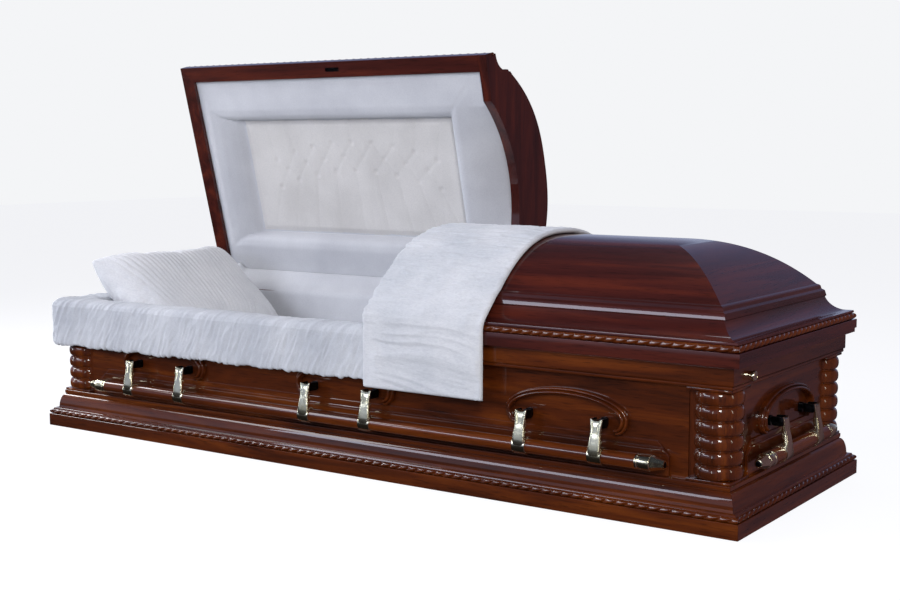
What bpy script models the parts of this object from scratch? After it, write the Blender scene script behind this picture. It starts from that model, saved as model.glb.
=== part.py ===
# A wooden half-couch casket with its head lid standing open.
# Metres, +Z up, +X towards the foot end, the front at -Y, the origin under the middle of the plinth.
# Insets are measured inwards from the plinth's outer edge, heights from the floor.

import math

import bmesh
import bpy
from mathutils import Matrix, Vector

# Outer sizes
LENGTH = 2.100
WIDTH = 0.728
BASE_HEIGHT = 0.1005
PANEL_HEIGHT = 0.2065
RAIL_HEIGHT = 0.041
DOME_RISE = 0.114

# Clearances
GAP = 0.0003
LID_SEAM = 0.0005
SPLIT_GAP = 0.012
CLOTH_GAP = 0.0010
HINGE_GAP = 0.0008
WELD = 0.00001
LAP = 0.001
SHARP_ANGLE = 32

# Plinth moulding
PLINTH_FASCIA = 0.033
BASE_ROPE_HEIGHT = 0.013
BASE_ROPE_DEPTH = 0.0085
BASE_LEDGE = 0.020
BASE_COVE_TOP_INSET = 0.034
BASE_LIP_WIDTH = 0.010
BASE_LIP_LIFT = 0.004
BASE_COVE_BELOW = 0.012
BASE_COVE_STEPS = 5
BASE_TOP_STEP = 0.002
BOTTOM_BOARD_THICKNESS = 0.018
ROPE_PROUD = 0.0075
ROPE_STEPS = 4

# Box
PANEL_INSET = 0.050
PANEL_THICKNESS = 0.018
POST_END_INSET = 0.134
RAIL_INSET = 0.028
RAIL_WIDTH = 0.050
RAIL_BEAD_HEIGHT = 0.0085
RAIL_BEAD_INSET = 0.031
RAIL_BEAD_EDGE = 0.002
RAIL_EDGE = 0.003

# Corner columns
COLUMN_INSET = 0.080
COLUMN_RADIUS = 0.052
COLUMN_VALLEY = 0.0045
COLUMN_RINGS = 6
COLUMN_SIDES = 14
COLUMN_FILLET = 0.0065
COLUMN_SHOULDER_IN = 0.0008
COLUMN_SHOULDER_UP = 0.004
PLATE_INSET = 0.034
PLATE_HEIGHT = 0.006
POST_REVEAL = 0.0015

# Backing boards, their lugs and the arch mouldings
BOARD_END_INSET = 0.175
BOARD_HEIGHT = 0.060
BOARD_THICKNESS = 0.008
BOARD_CHAMFER = 0.016
SHORT_BOARD_EXTRA = 0.030
STEP_LIFT = 0.010
STEP_HEIGHT = 0.0130
STEP_THICKNESS = 0.004
STEP_END_MARGIN = 0.012
ARCH_END_INSET = 0.425
ARCH_HALF_WIDTH = 0.1455
ARCH_RISE = 0.051
ARCH_DROP = 0.026
ARCH_CURL = 0.0205
ARCH_STRIP = 0.015
ARCH_PROUD = 0.019
ARCH_STEPS = 5
ARCH_SHOULDER_ACROSS = 0.87
ARCH_SHOULDER_OUT = 0.66

# Swing-bar handles
PIVOT_INSET = 0.027
PIVOT_HEIGHT = 0.203
BAR_FORWARD = 0.013
BAR_DROP = 0.071
BAR_RADIUS = 0.0165
BAR_SIDES = 10
TIP_RADIUS = 0.0175
TIP_SLEEVE = 0.034
TIP_NOSE = 0.030
NOSE_RADIUS = 0.0095
TIP_SHOULDER_RADIUS = 0.78
TIP_SHOULDER_AT = 0.66
TIP_NECK_RADIUS = 1.1
TIP_NECK_AT = 0.22
LONG_BAR_END_INSET = 0.170
SHORT_BAR_END_INSET = 0.134
ARM_SPREAD = 0.095
ARM_TOP = 0.009
ARM_TOP_HALF = 0.0152
ARM_WAIST_HALF = 0.0126
ARM_FOOT_HALF = 0.0172
ARM_WALL = 0.005
ARM_FRONT = 0.020
ARM_WAIST_AT = 0.28
ARM_WAIST_OUT = 0.005
ARM_WAIST_BACK = 0.001
ARM_NECK_AT = 0.63
ARM_NECK_IN = 0.0015
ARM_NECK_BACK = 0.009
SLEEVE_RADIUS = 0.0195
CHEEK_THICKNESS = 0.003
CHEEK_DROP = 0.011
CHEEK_BACK = 0.0075
LUG_SIDE_GAP = 0.0010
LUG_RADIUS = 0.0070
LUG_PLATE_HALF = 0.0155
LUG_PLATE_TOP = 0.012
LUG_PLATE_DROP = 0.017
LUG_TAIL_HALF = 0.005
LUG_TAIL_LAP = 0.004

# Lids
SPLIT_X = 0.088
LID_INSET = 0.0085
LID_FASCIA = 0.030
LID_ROPE_HEIGHT = 0.015
LID_ROPE_DEPTH = 0.0085
LID_LIP_INSET = 0.006
LID_LIP_LIFT = 0.001
LID_COVE_FOOT = 0.006
LID_COVE_INSET = 0.020
LID_COVE_RUN = 0.051
LID_COVE_RISE = 0.053
LID_COVE_STEPS = 5
LID_STEP_RUN = 0.013
LID_STEP_RISE = 0.013
LID_STEP_POINTS = ((0.002, 0.004), (0.007, 0.005), (0.008, 0.009))
DOME_POWER = 2.5
DOME_SPREAD = 1.15
DOME_STEPS = 8
LID_FRAME_WIDTH = 0.045
LID_FRAME_HEIGHT = 0.036
LID_WALL = 0.013
CAVITY_SHOULDER_IN = 0.003
CAVITY_SHOULDER_DOWN = 0.008
HEADER_THICKNESS = 0.026
HEADER_ARCH_HALF = 0.232
HEADER_ARCH_RISE = 0.077
HEADER_ARCH_POWER = 2.1
HEADER_ARCH_STEPS = 12

# Lid hinges
HINGE_INSET = 0.014
HINGE_LIFT = 0.001
HEAD_LID_OPEN = 75.5
HINGE_BARREL = 0.0042
HINGE_LEAF = 0.002
HINGE_LEAF_HEIGHT = 0.026
HINGE_END_MARGIN = 0.110
HINGE_SIDES = 10
REBATE_WIDTH = 0.0125
REBATE_HEIGHT = 0.0090
REBATE_OVER = 0.010

# Fittings
KNOB_RADIUS = 0.0115
KNOB_PROUD = 0.015
KNOB_STEM = 0.45
KNOB_STEM_END = 0.35
KNOB_RIM_START = 0.45
KNOB_RIM_END = 0.85
KNOB_FACE = 0.80
KNOB_Y_INSET = 0.109
KNOB_DROP = 0.027
CATCH_X = -0.440
CATCH_LENGTH = 0.050
CATCH_WIDTH = 0.012
CATCH_DEPTH = 0.006
LATCH_X = 0.270
LATCH_LENGTH = 0.046
LATCH_HEIGHT = 0.007
LATCH_DEPTH = 0.010
LATCH_INSET = 0.003

# Upholstery
LINING_THICKNESS = 0.008
MATTRESS_THICKNESS = 0.218
MATTRESS_MARGIN = 0.006
MATTRESS_EDGE = 0.018
ROLL_WIDTH = 0.128
ROLL_RECESS = 0.050
ROLL_FACE = ((0.0, 0.010), (0.24, 0.006), (0.55, 0.014), (0.82, 0.030))
ROLL_DEPTH = 0.028
ROLL_HEEL_AT = 0.30
ROLL_HEEL = 0.022
ROLL_EDGE = 0.002
PANEL_PAD = 0.016
PANEL_LAP = 0.002
FOOT_LINING_LIFT = 0.008
PILLOW_HALF_WIDTH = 0.262
PILLOW_HALF_LENGTH = 0.186
PILLOW_HALF_THICKNESS = 0.072
PILLOW_TILT = 34.0
PILLOW_CENTRE_INSET = 0.238
PILLOW_LIFT = 0.109
PILLOW_STEPS = 8
PILLOW_ROUNDNESS = 4
PILLOW_PULL = 0.05
SKIRT_CLEAR = 0.0015
SKIRT_THICKNESS = 0.0165
SKIRT_TOP = 0.015
SKIRT_DROP = 0.116
SKIRT_TUCK = 0.045
SKIRT_LINING = 0.00825
SKIRT_CROWN_IN = 0.002
SKIRT_CROWN_OUT = 0.001
SKIRT_SHOULDER = (0.004, 0.002)
SKIRT_FACE_DROP = 0.020
SKIRT_WAIST = 0.003
SKIRT_HEM = (0.006, 0.012)
SKIRT_SCALLOP = 0.004
SKIRT_SCALLOP_PITCH = 0.090
THROW_THICKNESS = 0.015
THROW_LENGTH = 0.340
THROW_DROP = 0.130
THROW_LIP = 0.0090
THROW_BACK_STOP = 0.052
THROW_LEDGE = 0.004
THROW_LAP_START = 0.83
THROW_LAP_IN = 0.008
THROW_LAP_DOWN = 0.006

# Places that follow from the sizes above
HALF_L = LENGTH / 2
HALF_W = WIDTH / 2
PANEL_Z = BASE_HEIGHT + GAP
RAIL_Z = PANEL_Z + PANEL_HEIGHT + GAP
RAIL_TOP = RAIL_Z + RAIL_HEIGHT
LID_Z = RAIL_TOP + LID_SEAM
COVE_Z = LID_FASCIA + LID_ROPE_HEIGHT + LID_COVE_FOOT
DOME_INSET = LID_COVE_INSET + LID_COVE_RUN + LID_STEP_RUN
DOME_FOOT = COVE_Z + LID_COVE_RISE + LID_STEP_RISE
CAVITY_INSET = LID_INSET + LID_FRAME_WIDTH
WALL_IN = PANEL_INSET + PANEL_THICKNESS
LINING_INSET = WALL_IN + GAP
LINING_Z = BOTTOM_BOARD_THICKNESS + GAP
MATTRESS_Z = LINING_Z + LINING_THICKNESS + GAP
MATTRESS_TOP = MATTRESS_Z + MATTRESS_THICKNESS
FOOT_SPLIT_X = SPLIT_X + SPLIT_GAP
HINGE_Y = HALF_W - HINGE_INSET
HINGE_Z = LID_Z + HINGE_LIFT
ARCH_SPACING = HALF_L - ARCH_END_INSET
LONG_ARCHES = (-ARCH_SPACING, 0.0, ARCH_SPACING)
LONG_ARMS = [centre + side * ARM_SPREAD for centre in LONG_ARCHES for side in (-1, 1)]
SHORT_ARMS = (-ARM_SPREAD, ARM_SPREAD)
SIDES = {"front": (0, HALF_W), "foot": (90, HALF_L), "back": (180, HALF_W), "head": (-90, HALF_L)}

# Finishes: colour, roughness, metallic
FINISHES = {
    "mahogany": ((0.115, 0.022, 0.009), 0.12, 0.0),
    "antique_brass": ((0.42, 0.38, 0.27), 0.28, 1.0),
    "dark_metal": ((0.03, 0.03, 0.03), 0.45, 1.0),
    "crepe": ((0.78, 0.80, 0.86), 0.85, 0.0),
    "satin": ((0.80, 0.79, 0.78), 0.60, 0.0),
}


def material(name):
    found = bpy.data.materials.get(name)
    if found:
        return found
    made = bpy.data.materials.new(name)
    made.use_nodes = True
    colour, roughness, metallic = FINISHES[name]
    shader = made.node_tree.nodes["Principled BSDF"]
    shader.inputs["Base Color"].default_value = (*colour, 1.0)
    shader.inputs["Roughness"].default_value = roughness
    shader.inputs["Metallic"].default_value = metallic
    return made


def make_object(name, bm, finish, parent=None, location=(0, 0, 0), turn=0):
    """Turns a closed bmesh into an object; turn is about Z, in degrees."""
    bmesh.ops.recalc_face_normals(bm, faces=bm.faces)
    if bm.calc_volume(signed=True) < 0:
        bmesh.ops.reverse_faces(bm, faces=bm.faces)
    mesh = bpy.data.meshes.new(name)
    bm.to_mesh(mesh)
    bm.free()
    mesh.materials.append(material(finish))
    mesh.shade_smooth()
    mesh.set_sharp_from_angle(angle=math.radians(SHARP_ANGLE))
    made = bpy.data.objects.new(name, mesh)
    bpy.context.scene.collection.objects.link(made)
    made.location = location
    made.rotation_euler = (0, 0, math.radians(turn))
    if parent:
        made.parent = parent
    return made


def boolean(target, operation, *tools):
    """Joins cutters or additions to the target for good, with the exact solver."""
    for tool in tools:
        change = target.modifiers.new(tool.name, "BOOLEAN")
        change.operation = operation
        change.solver = "EXACT"
        change.object = tool
    bpy.context.view_layer.update()
    shape = bpy.data.meshes.new_from_object(target.evaluated_get(bpy.context.evaluated_depsgraph_get()))
    target.modifiers.clear()
    target.data = shape
    shape.set_sharp_from_angle(angle=math.radians(SHARP_ANGLE))
    for tool in tools:
        bpy.data.objects.remove(tool)
    return target


def sweep(profile, stations, ring=False, closed=True):
    """Carries a profile through stations, each a function of (inset, height) that gives a point."""
    bm = bmesh.new()
    rows = [[bm.verts.new(place(*point)) for point in profile] for place in stations]
    count = len(profile)
    pairs = list(zip(rows, rows[1:])) + ([(rows[-1], rows[0])] if ring else [])
    for first, second in pairs:
        for i in range(count if closed else count - 1):
            j = (i + 1) % count
            bm.faces.new((first[i], first[j], second[j], second[i]))
    if not ring:
        bm.faces.new(rows[0])
        bm.faces.new(rows[-1][::-1])
    bmesh.ops.remove_doubles(bm, verts=bm.verts, dist=WELD)
    bmesh.ops.dissolve_degenerate(bm, edges=bm.edges, dist=WELD)
    return bm


def box_mesh(low, high):
    bm = bmesh.new()
    size = [b - a for a, b in zip(low, high)]
    middle = [(a + b) / 2 for a, b in zip(low, high)]
    bmesh.ops.create_cube(bm, size=1.0, matrix=Matrix.Translation(middle) @ Matrix.Diagonal((*size, 1.0)))
    return bm


def turned(profile, sides, axis="Z"):
    """A turned solid from (radius, distance along the axis), closed flat at both ends."""
    bm = bmesh.new()
    rows = []
    for radius, along in profile:
        row = []
        for k in range(sides):
            angle = math.tau * (k + 0.5) / sides
            a, b = radius * math.cos(angle), radius * math.sin(angle)
            row.append(bm.verts.new((a, b, along) if axis == "Z" else (along, a, b)))
        rows.append(row)
    for first, second in zip(rows, rows[1:]):
        for i in range(sides):
            j = (i + 1) % sides
            bm.faces.new((first[i], first[j], second[j], second[i]))
    bm.faces.new(rows[0][::-1])
    bm.faces.new(rows[-1])
    return bm


def prism(outline, low, high, axis):
    """Extrudes an outline of two coordinates along the third axis, X or Y."""
    if axis == "X":
        ends = [lambda a, b: (low, a, b), lambda a, b: (high, a, b)]
    else:
        ends = [lambda a, b: (a, low, b), lambda a, b: (a, high, b)]
    return sweep(outline, ends)


def mitred(name, profile, finish):
    """Four lengths of one moulding, mitred at the corners, each its own piece."""
    for side, (turn, reach) in SIDES.items():
        half = HALF_L if reach == HALF_W else HALF_W
        ends = [
            lambda d, z: (-(half - d) + GAP, -(reach - d), z),
            lambda d, z: ((half - d) - GAP, -(reach - d), z),
        ]
        make_object(f"{name}_{side}", sweep(profile, ends), finish, turn=turn)


def corner_stations(x_split=None, sign=0, split_edge=0.0):
    """The corners of a rectangle at an inset: all four, or the U of a lid with its open end at x_split."""
    if x_split is None:
        return [
            lambda d, z: (-(HALF_L - d), -(HALF_W - d), z),
            lambda d, z: (HALF_L - d, -(HALF_W - d), z),
            lambda d, z: (HALF_L - d, HALF_W - d, z),
            lambda d, z: (-(HALF_L - d), HALF_W - d, z),
        ]
    if split_edge:
        def split(d):
            return x_split + sign * (d - split_edge)
    else:
        def split(d):
            return x_split
    return [
        lambda d, z: (split(d), -(HALF_W - d), z),
        lambda d, z: (sign * (HALF_L - d), -(HALF_W - d), z),
        lambda d, z: (sign * (HALF_L - d), HALF_W - d, z),
        lambda d, z: (split(d), HALF_W - d, z),
    ]


def rope_profile(outer, bottom, height, depth):
    """A plain half-round strip: the rope's own twist is left to the finish."""
    points = [(outer + depth - GAP, bottom + GAP), (outer + depth - GAP, bottom + height - GAP)]
    for k in range(1, ROPE_STEPS + 1):
        angle = math.pi * k / (ROPE_STEPS + 1)
        points.append((
            outer + depth - GAP - ROPE_PROUD * math.sin(angle),
            bottom + height / 2 + (height / 2 - GAP) * math.cos(angle),
        ))
    return points


# Plinth, floor and box

def base():
    groove_top = PLINTH_FASCIA + BASE_ROPE_HEIGHT
    cove_foot = groove_top + BASE_LIP_LIFT
    cove_top = BASE_HEIGHT - BASE_COVE_BELOW
    top_inset = BASE_COVE_TOP_INSET - BASE_TOP_STEP
    cove = []
    for k in range(BASE_COVE_STEPS + 1):
        angle = math.radians(90) * k / BASE_COVE_STEPS
        cove.append((
            BASE_LEDGE + (BASE_COVE_TOP_INSET - BASE_LEDGE) * (1 - math.cos(angle)),
            cove_foot + (cove_top - cove_foot) * math.sin(angle),
        ))
    profile = [(0.0, 0.0), (0.0, PLINTH_FASCIA), (BASE_ROPE_DEPTH, PLINTH_FASCIA)]
    profile += [(BASE_ROPE_DEPTH, groove_top), (BASE_LEDGE - BASE_LIP_WIDTH, cove_foot)]
    profile += cove
    profile += [(top_inset, BASE_HEIGHT - 2 * BASE_TOP_STEP)]
    profile += [(top_inset, BASE_HEIGHT), (WALL_IN, BASE_HEIGHT), (WALL_IN, 0.0)]
    mitred("plinth_moulding", profile, "mahogany")
    rope = rope_profile(0.0, PLINTH_FASCIA, BASE_ROPE_HEIGHT, BASE_ROPE_DEPTH)
    make_object("plinth_rope", sweep(rope, corner_stations(), ring=True), "mahogany")
    x, y = HALF_L - WALL_IN - GAP, HALF_W - WALL_IN - GAP
    make_object("bottom_board", box_mesh((-x, -y, 0.0), (x, y, BOTTOM_BOARD_THICKNESS)), "mahogany")


def panels():
    for side, (turn, reach) in SIDES.items():
        half = (HALF_L if reach == HALF_W else HALF_W) - POST_END_INSET - GAP
        low = (-half, -(reach - PANEL_INSET), PANEL_Z)
        high = (half, -(reach - WALL_IN), PANEL_Z + PANEL_HEIGHT)
        make_object(f"side_panel_{side}", box_mesh(low, high), "mahogany", turn=turn)


def rails():
    edge = RAIL_EDGE
    bead_foot = RAIL_Z - RAIL_BEAD_HEIGHT
    profile = [
        (RAIL_BEAD_INSET, bead_foot + RAIL_BEAD_EDGE), (RAIL_BEAD_INSET, RAIL_Z - RAIL_BEAD_EDGE),
        (RAIL_INSET + edge, RAIL_Z), (RAIL_INSET, RAIL_Z + edge), (RAIL_INSET, RAIL_TOP - edge),
        (RAIL_INSET + edge, RAIL_TOP), (RAIL_INSET + RAIL_WIDTH, RAIL_TOP),
        (RAIL_INSET + RAIL_WIDTH, RAIL_Z), (PANEL_INSET - GAP, RAIL_Z),
        (PANEL_INSET - GAP, bead_foot), (RAIL_BEAD_INSET + RAIL_BEAD_EDGE, bead_foot),
    ]
    mitred("top_rail", profile, "mahogany")


def column_profile(low, high):
    """Stacked rings with a narrow fillet between them, as (radius, height)."""
    pitch = (high - low) / COLUMN_RINGS
    valley = COLUMN_RADIUS - COLUMN_VALLEY
    crown = COLUMN_RADIUS - COLUMN_SHOULDER_IN
    points = []
    for ring in range(COLUMN_RINGS):
        foot = low + ring * pitch + COLUMN_FILLET / 2
        head = low + (ring + 1) * pitch - COLUMN_FILLET / 2
        points += [
            (valley, foot), (crown, foot + COLUMN_SHOULDER_UP),
            (crown, head - COLUMN_SHOULDER_UP), (valley, head),
        ]
    return [(valley, low)] + points + [(valley, high)]


def columns():
    """One corner: a turned column with its plates and post, hollowed to the box's wall thickness."""
    foot, head = PANEL_Z, RAIL_Z - RAIL_BEAD_HEIGHT - GAP
    inner = COLUMN_INSET - POST_END_INSET
    plate = COLUMN_INSET - PLATE_INSET
    post = COLUMN_INSET - PANEL_INSET - POST_REVEAL
    wall = COLUMN_INSET - WALL_IN
    body = turned(column_profile(foot + PLATE_HEIGHT - LAP, head - PLATE_HEIGHT + LAP), COLUMN_SIDES)
    corner = make_object("corner_column", body, "mahogany")
    tools = [
        make_object("post", box_mesh((inner, inner, foot), (post, post, RAIL_Z - GAP)), "mahogany"),
        make_object("foot", box_mesh((inner, inner, foot), (plate, plate, foot + PLATE_HEIGHT)), "mahogany"),
        make_object("cap", box_mesh((inner, inner, head - PLATE_HEIGHT), (plate, plate, head)), "mahogany"),
    ]
    boolean(corner, "UNION", *tools)
    reach = 2 * COLUMN_RADIUS
    room = make_object("room", box_mesh((-reach, -reach, 0), (wall, wall, RAIL_TOP)), "mahogany")
    boolean(corner, "DIFFERENCE", room)
    x, y = HALF_L - COLUMN_INSET, HALF_W - COLUMN_INSET
    places = {
        "foot_back": (x, y, 0), "head_back": (-x, y, 90),
        "head_front": (-x, -y, 180), "foot_front": (x, -y, 270),
    }
    for place, (px, py, turn) in places.items():
        copy = bpy.data.objects.new(f"corner_column_{place}", corner.data)
        bpy.context.scene.collection.objects.link(copy)
        copy.location = (px, py, 0)
        copy.rotation_euler = (0, 0, math.radians(turn))
    bpy.data.objects.remove(corner)


# Arches, backing boards and handles, all modelled as if on the front and then turned to their side

def arch_path():
    """The arch's centre line as (along, height): an ellipse above, its two feet curling inwards."""
    widest = PANEL_Z + BOARD_HEIGHT + STEP_HEIGHT + 2 * GAP + ARCH_DROP + ARCH_STRIP / 2
    right = []
    for k in range(3):
        angle = math.radians(45) * k
        along = ARCH_HALF_WIDTH - ARCH_CURL * (1 - math.sin(angle))
        right.append((along, widest - ARCH_DROP * math.cos(angle)))
    for k in range(1, ARCH_STEPS + 1):
        angle = math.radians(90) * k / ARCH_STEPS
        right.append((ARCH_HALF_WIDTH * math.cos(angle), widest + ARCH_RISE * math.sin(angle)))
    return right + [(-a, z) for a, z in reversed(right[:-1])]


def arch(name, centre, turn, reach):
    path = [Vector(point) for point in arch_path()]
    half = ARCH_STRIP / 2
    shoulder, out = half * ARCH_SHOULDER_ACROSS, ARCH_PROUD * ARCH_SHOULDER_OUT
    profile = [(-half, GAP), (-shoulder, out), (0, ARCH_PROUD), (shoulder, out), (half, GAP)]
    stations = []
    for i, point in enumerate(path):
        ahead = path[min(i + 1, len(path) - 1)] - path[max(i - 1, 0)]
        across = Vector((-ahead.y, ahead.x)).normalized()

        def place(w, out, point=point, across=across):
            flat = point + across * w
            return (centre + flat.x, -(reach - PANEL_INSET) - out, flat.y)

        stations.append(place)
    make_object(name, sweep(profile, stations), "mahogany", turn=turn)


def chamfered(half, low, high, cut):
    right = [(half, low), (half, high - cut), (half - cut, high)]
    return [(-half, low)] + right + [(-half + cut, high), (-half, high - cut)]


def backing_board(name, turn, reach, half, arms):
    """The raised board behind a bar, with the metal lugs that carry the handle's arms."""
    face = -(reach - PANEL_INSET) - GAP
    top = PANEL_Z + BOARD_HEIGHT
    board = prism(chamfered(half, PANEL_Z, top, BOARD_CHAMFER), face - BOARD_THICKNESS, face, "Y")
    made = make_object(name, board, "mahogany", turn=turn)
    step = chamfered(half - STEP_END_MARGIN, PANEL_Z + STEP_LIFT, top + STEP_HEIGHT, BOARD_CHAMFER)
    tools = [make_object("step", prism(step, face - STEP_THICKNESS, face, "Y"), "mahogany", turn=turn)]
    pivot_y = -(reach - PIVOT_INSET)
    tongue = [(face - STEP_THICKNESS, PIVOT_HEIGHT - LUG_RADIUS)]
    for k in range(5):
        angle = math.radians(-90 - 45 * k)
        tongue.append((pivot_y + LUG_RADIUS * math.cos(angle), PIVOT_HEIGHT + LUG_RADIUS * math.sin(angle)))
    tongue.append((face - STEP_THICKNESS, PIVOT_HEIGHT + LUG_RADIUS))
    lug_half = ARM_TOP_HALF - CHEEK_THICKNESS - LUG_SIDE_GAP
    for x in arms:
        shoulder = PIVOT_HEIGHT - LUG_PLATE_DROP
        plate = [(x - LUG_TAIL_HALF, top + STEP_HEIGHT - LUG_TAIL_LAP), (x - LUG_TAIL_HALF, shoulder)]
        plate += [(x - LUG_PLATE_HALF, shoulder), (x - LUG_PLATE_HALF, PIVOT_HEIGHT + LUG_PLATE_TOP)]
        plate += [(2 * x - a, z) for a, z in reversed(plate)]
        made_plate = prism(plate, face - BOARD_THICKNESS - LAP, face, "Y")
        tools.append(make_object("lug_plate", made_plate, "antique_brass", turn=turn))
        lug = prism(tongue, x - lug_half, x + lug_half, "X")
        tools.append(make_object("lug", lug, "antique_brass", turn=turn))
    boolean(made, "UNION", *tools)


def bar_profile(half):
    """Wooden bar and its two metal tips, as (radius, along)."""
    right = [
        (BAR_RADIUS, half - TIP_NOSE - TIP_SLEEVE), (TIP_RADIUS, half - TIP_NOSE - TIP_SLEEVE),
        (TIP_RADIUS, half - TIP_NOSE),
        (TIP_RADIUS * TIP_SHOULDER_RADIUS, half - TIP_NOSE * TIP_SHOULDER_AT),
        (NOSE_RADIUS * TIP_NECK_RADIUS, half - TIP_NOSE * TIP_NECK_AT), (NOSE_RADIUS, half),
    ]
    return [(r, -s) for r, s in reversed(right)] + right


def handle(name, half, arms, parent):
    """A bar with its tips and arms, about an origin on the line of the lugs."""
    middle = Vector((0, -BAR_FORWARD, -BAR_DROP))
    bar = turned(bar_profile(half), BAR_SIDES, axis="X")
    bmesh.ops.translate(bar, verts=bar.verts, vec=middle)
    made = make_object(name, bar, "mahogany")
    foot_front = BAR_FORWARD + SLEEVE_RADIUS
    sections = [
        (ARM_TOP, ARM_FRONT, ARM_FRONT - ARM_WALL, ARM_TOP_HALF),
        (-ARM_WAIST_AT * BAR_DROP, ARM_FRONT + ARM_WAIST_OUT, ARM_FRONT - ARM_WAIST_BACK, ARM_WAIST_HALF),
        (-ARM_NECK_AT * BAR_DROP, foot_front - ARM_NECK_IN, BAR_FORWARD + ARM_NECK_BACK, ARM_TOP_HALF),
        (-BAR_DROP, foot_front, BAR_FORWARD, ARM_FOOT_HALF),
    ]
    tools = []
    for x in arms:
        stations = []
        for z, front, back, wide in sections:
            def place(side, depth, z=z, front=front, back=back, wide=wide, x=x):
                return (x + side * wide, -(front if depth else back), z)
            stations.append(place)
        square = [(-1, 0), (1, 0), (1, 1), (-1, 1)]
        tools.append(make_object("arm", sweep(square, stations), "antique_brass"))
        spool = [(SLEEVE_RADIUS, x - ARM_FOOT_HALF), (SLEEVE_RADIUS, x + ARM_FOOT_HALF)]
        ring = turned(spool, BAR_SIDES, axis="X")
        bmesh.ops.translate(ring, verts=ring.verts, vec=middle)
        tools.append(make_object("sleeve", ring, "antique_brass"))
        for side in (-1, 1):
            ends = sorted((x + side * ARM_TOP_HALF, x + side * (ARM_TOP_HALF - CHEEK_THICKNESS)))
            low = (ends[0], -ARM_FRONT + LAP, -CHEEK_DROP)
            high = (ends[1], CHEEK_BACK, ARM_TOP)
            tools.append(make_object("cheek", box_mesh(low, high), "antique_brass"))
    boolean(made, "UNION", *tools)
    made.parent = parent


def handles():
    for side, (turn, reach) in SIDES.items():
        long = reach == HALF_W
        arms = LONG_ARMS if long else SHORT_ARMS
        end = HALF_L - LONG_BAR_END_INSET if long else HALF_W - SHORT_BAR_END_INSET
        board = HALF_L - BOARD_END_INSET if long else HALF_W - BOARD_END_INSET + SHORT_BOARD_EXTRA
        backing_board(f"handle_board_{side}", turn, reach, board, arms)
        centres = LONG_ARCHES if long else (0.0,)
        names = ("left", "middle", "right") if long else ("middle",)
        for word, centre in zip(names, centres):
            arch(f"arch_{side}_{word}", centre, turn, reach)
        pivot = bpy.data.objects.new(f"pivot_{side}", None)
        bpy.context.scene.collection.objects.link(pivot)
        facing = Matrix.Rotation(math.radians(turn), 3, "Z")
        pivot.location = facing @ Vector((0, -(reach - PIVOT_INSET), PIVOT_HEIGHT))
        pivot.rotation_euler = (0, 0, math.radians(turn))
        handle(f"handle_{side}", end, arms, pivot)


# Lids, modelled closed; the head lid hangs on an empty that is turned open at its hinge

def dome_height(run, half, rise):
    return rise * (1 - max(0.0, 1 - run / half) ** DOME_POWER)


def lid_outer():
    """The lid's outside from its lower edge to the crest, as (inset, height above the lid's underside)."""
    groove = LID_INSET + LID_ROPE_DEPTH
    points = [(LID_INSET, 0.0), (LID_INSET, LID_FASCIA), (groove, LID_FASCIA)]
    rope_top = LID_FASCIA + LID_ROPE_HEIGHT
    points += [(groove, rope_top), (LID_COVE_INSET - LID_LIP_INSET, rope_top + LID_LIP_LIFT)]
    for k in range(LID_COVE_STEPS + 1):
        angle = math.radians(90) * k / LID_COVE_STEPS
        points.append((
            LID_COVE_INSET + LID_COVE_RUN * math.sin(angle),
            COVE_Z + LID_COVE_RISE * (1 - math.cos(angle)),
        ))
    cove_inset, cove_top = points[-1]
    points += [(cove_inset + run, cove_top + rise) for run, rise in LID_STEP_POINTS]
    half = HALF_W - DOME_INSET
    for k in range(DOME_STEPS + 1):
        run = half * (1 - math.cos(math.radians(90) * k / DOME_STEPS) ** DOME_SPREAD)
        points.append((DOME_INSET + run, DOME_FOOT + dome_height(run, half, DOME_RISE)))
    return points


def lid_inner():
    """The hollow from its mouth to its crown, in the same terms."""
    points = [(CAVITY_INSET, 0.0), (CAVITY_INSET, LID_FRAME_HEIGHT)]
    shoulder = DOME_FOOT - LID_STEP_RISE - LID_WALL - CAVITY_SHOULDER_DOWN
    points.append((DOME_INSET + CAVITY_SHOULDER_IN, shoulder))
    foot = DOME_INSET + LID_WALL
    half = HALF_W - foot
    for k in range(DOME_STEPS + 1):
        run = half * (1 - math.cos(math.radians(90) * k / DOME_STEPS) ** DOME_SPREAD)
        points.append((foot + run, DOME_FOOT - LID_WALL + dome_height(run, half, DOME_RISE)))
    return points


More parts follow.
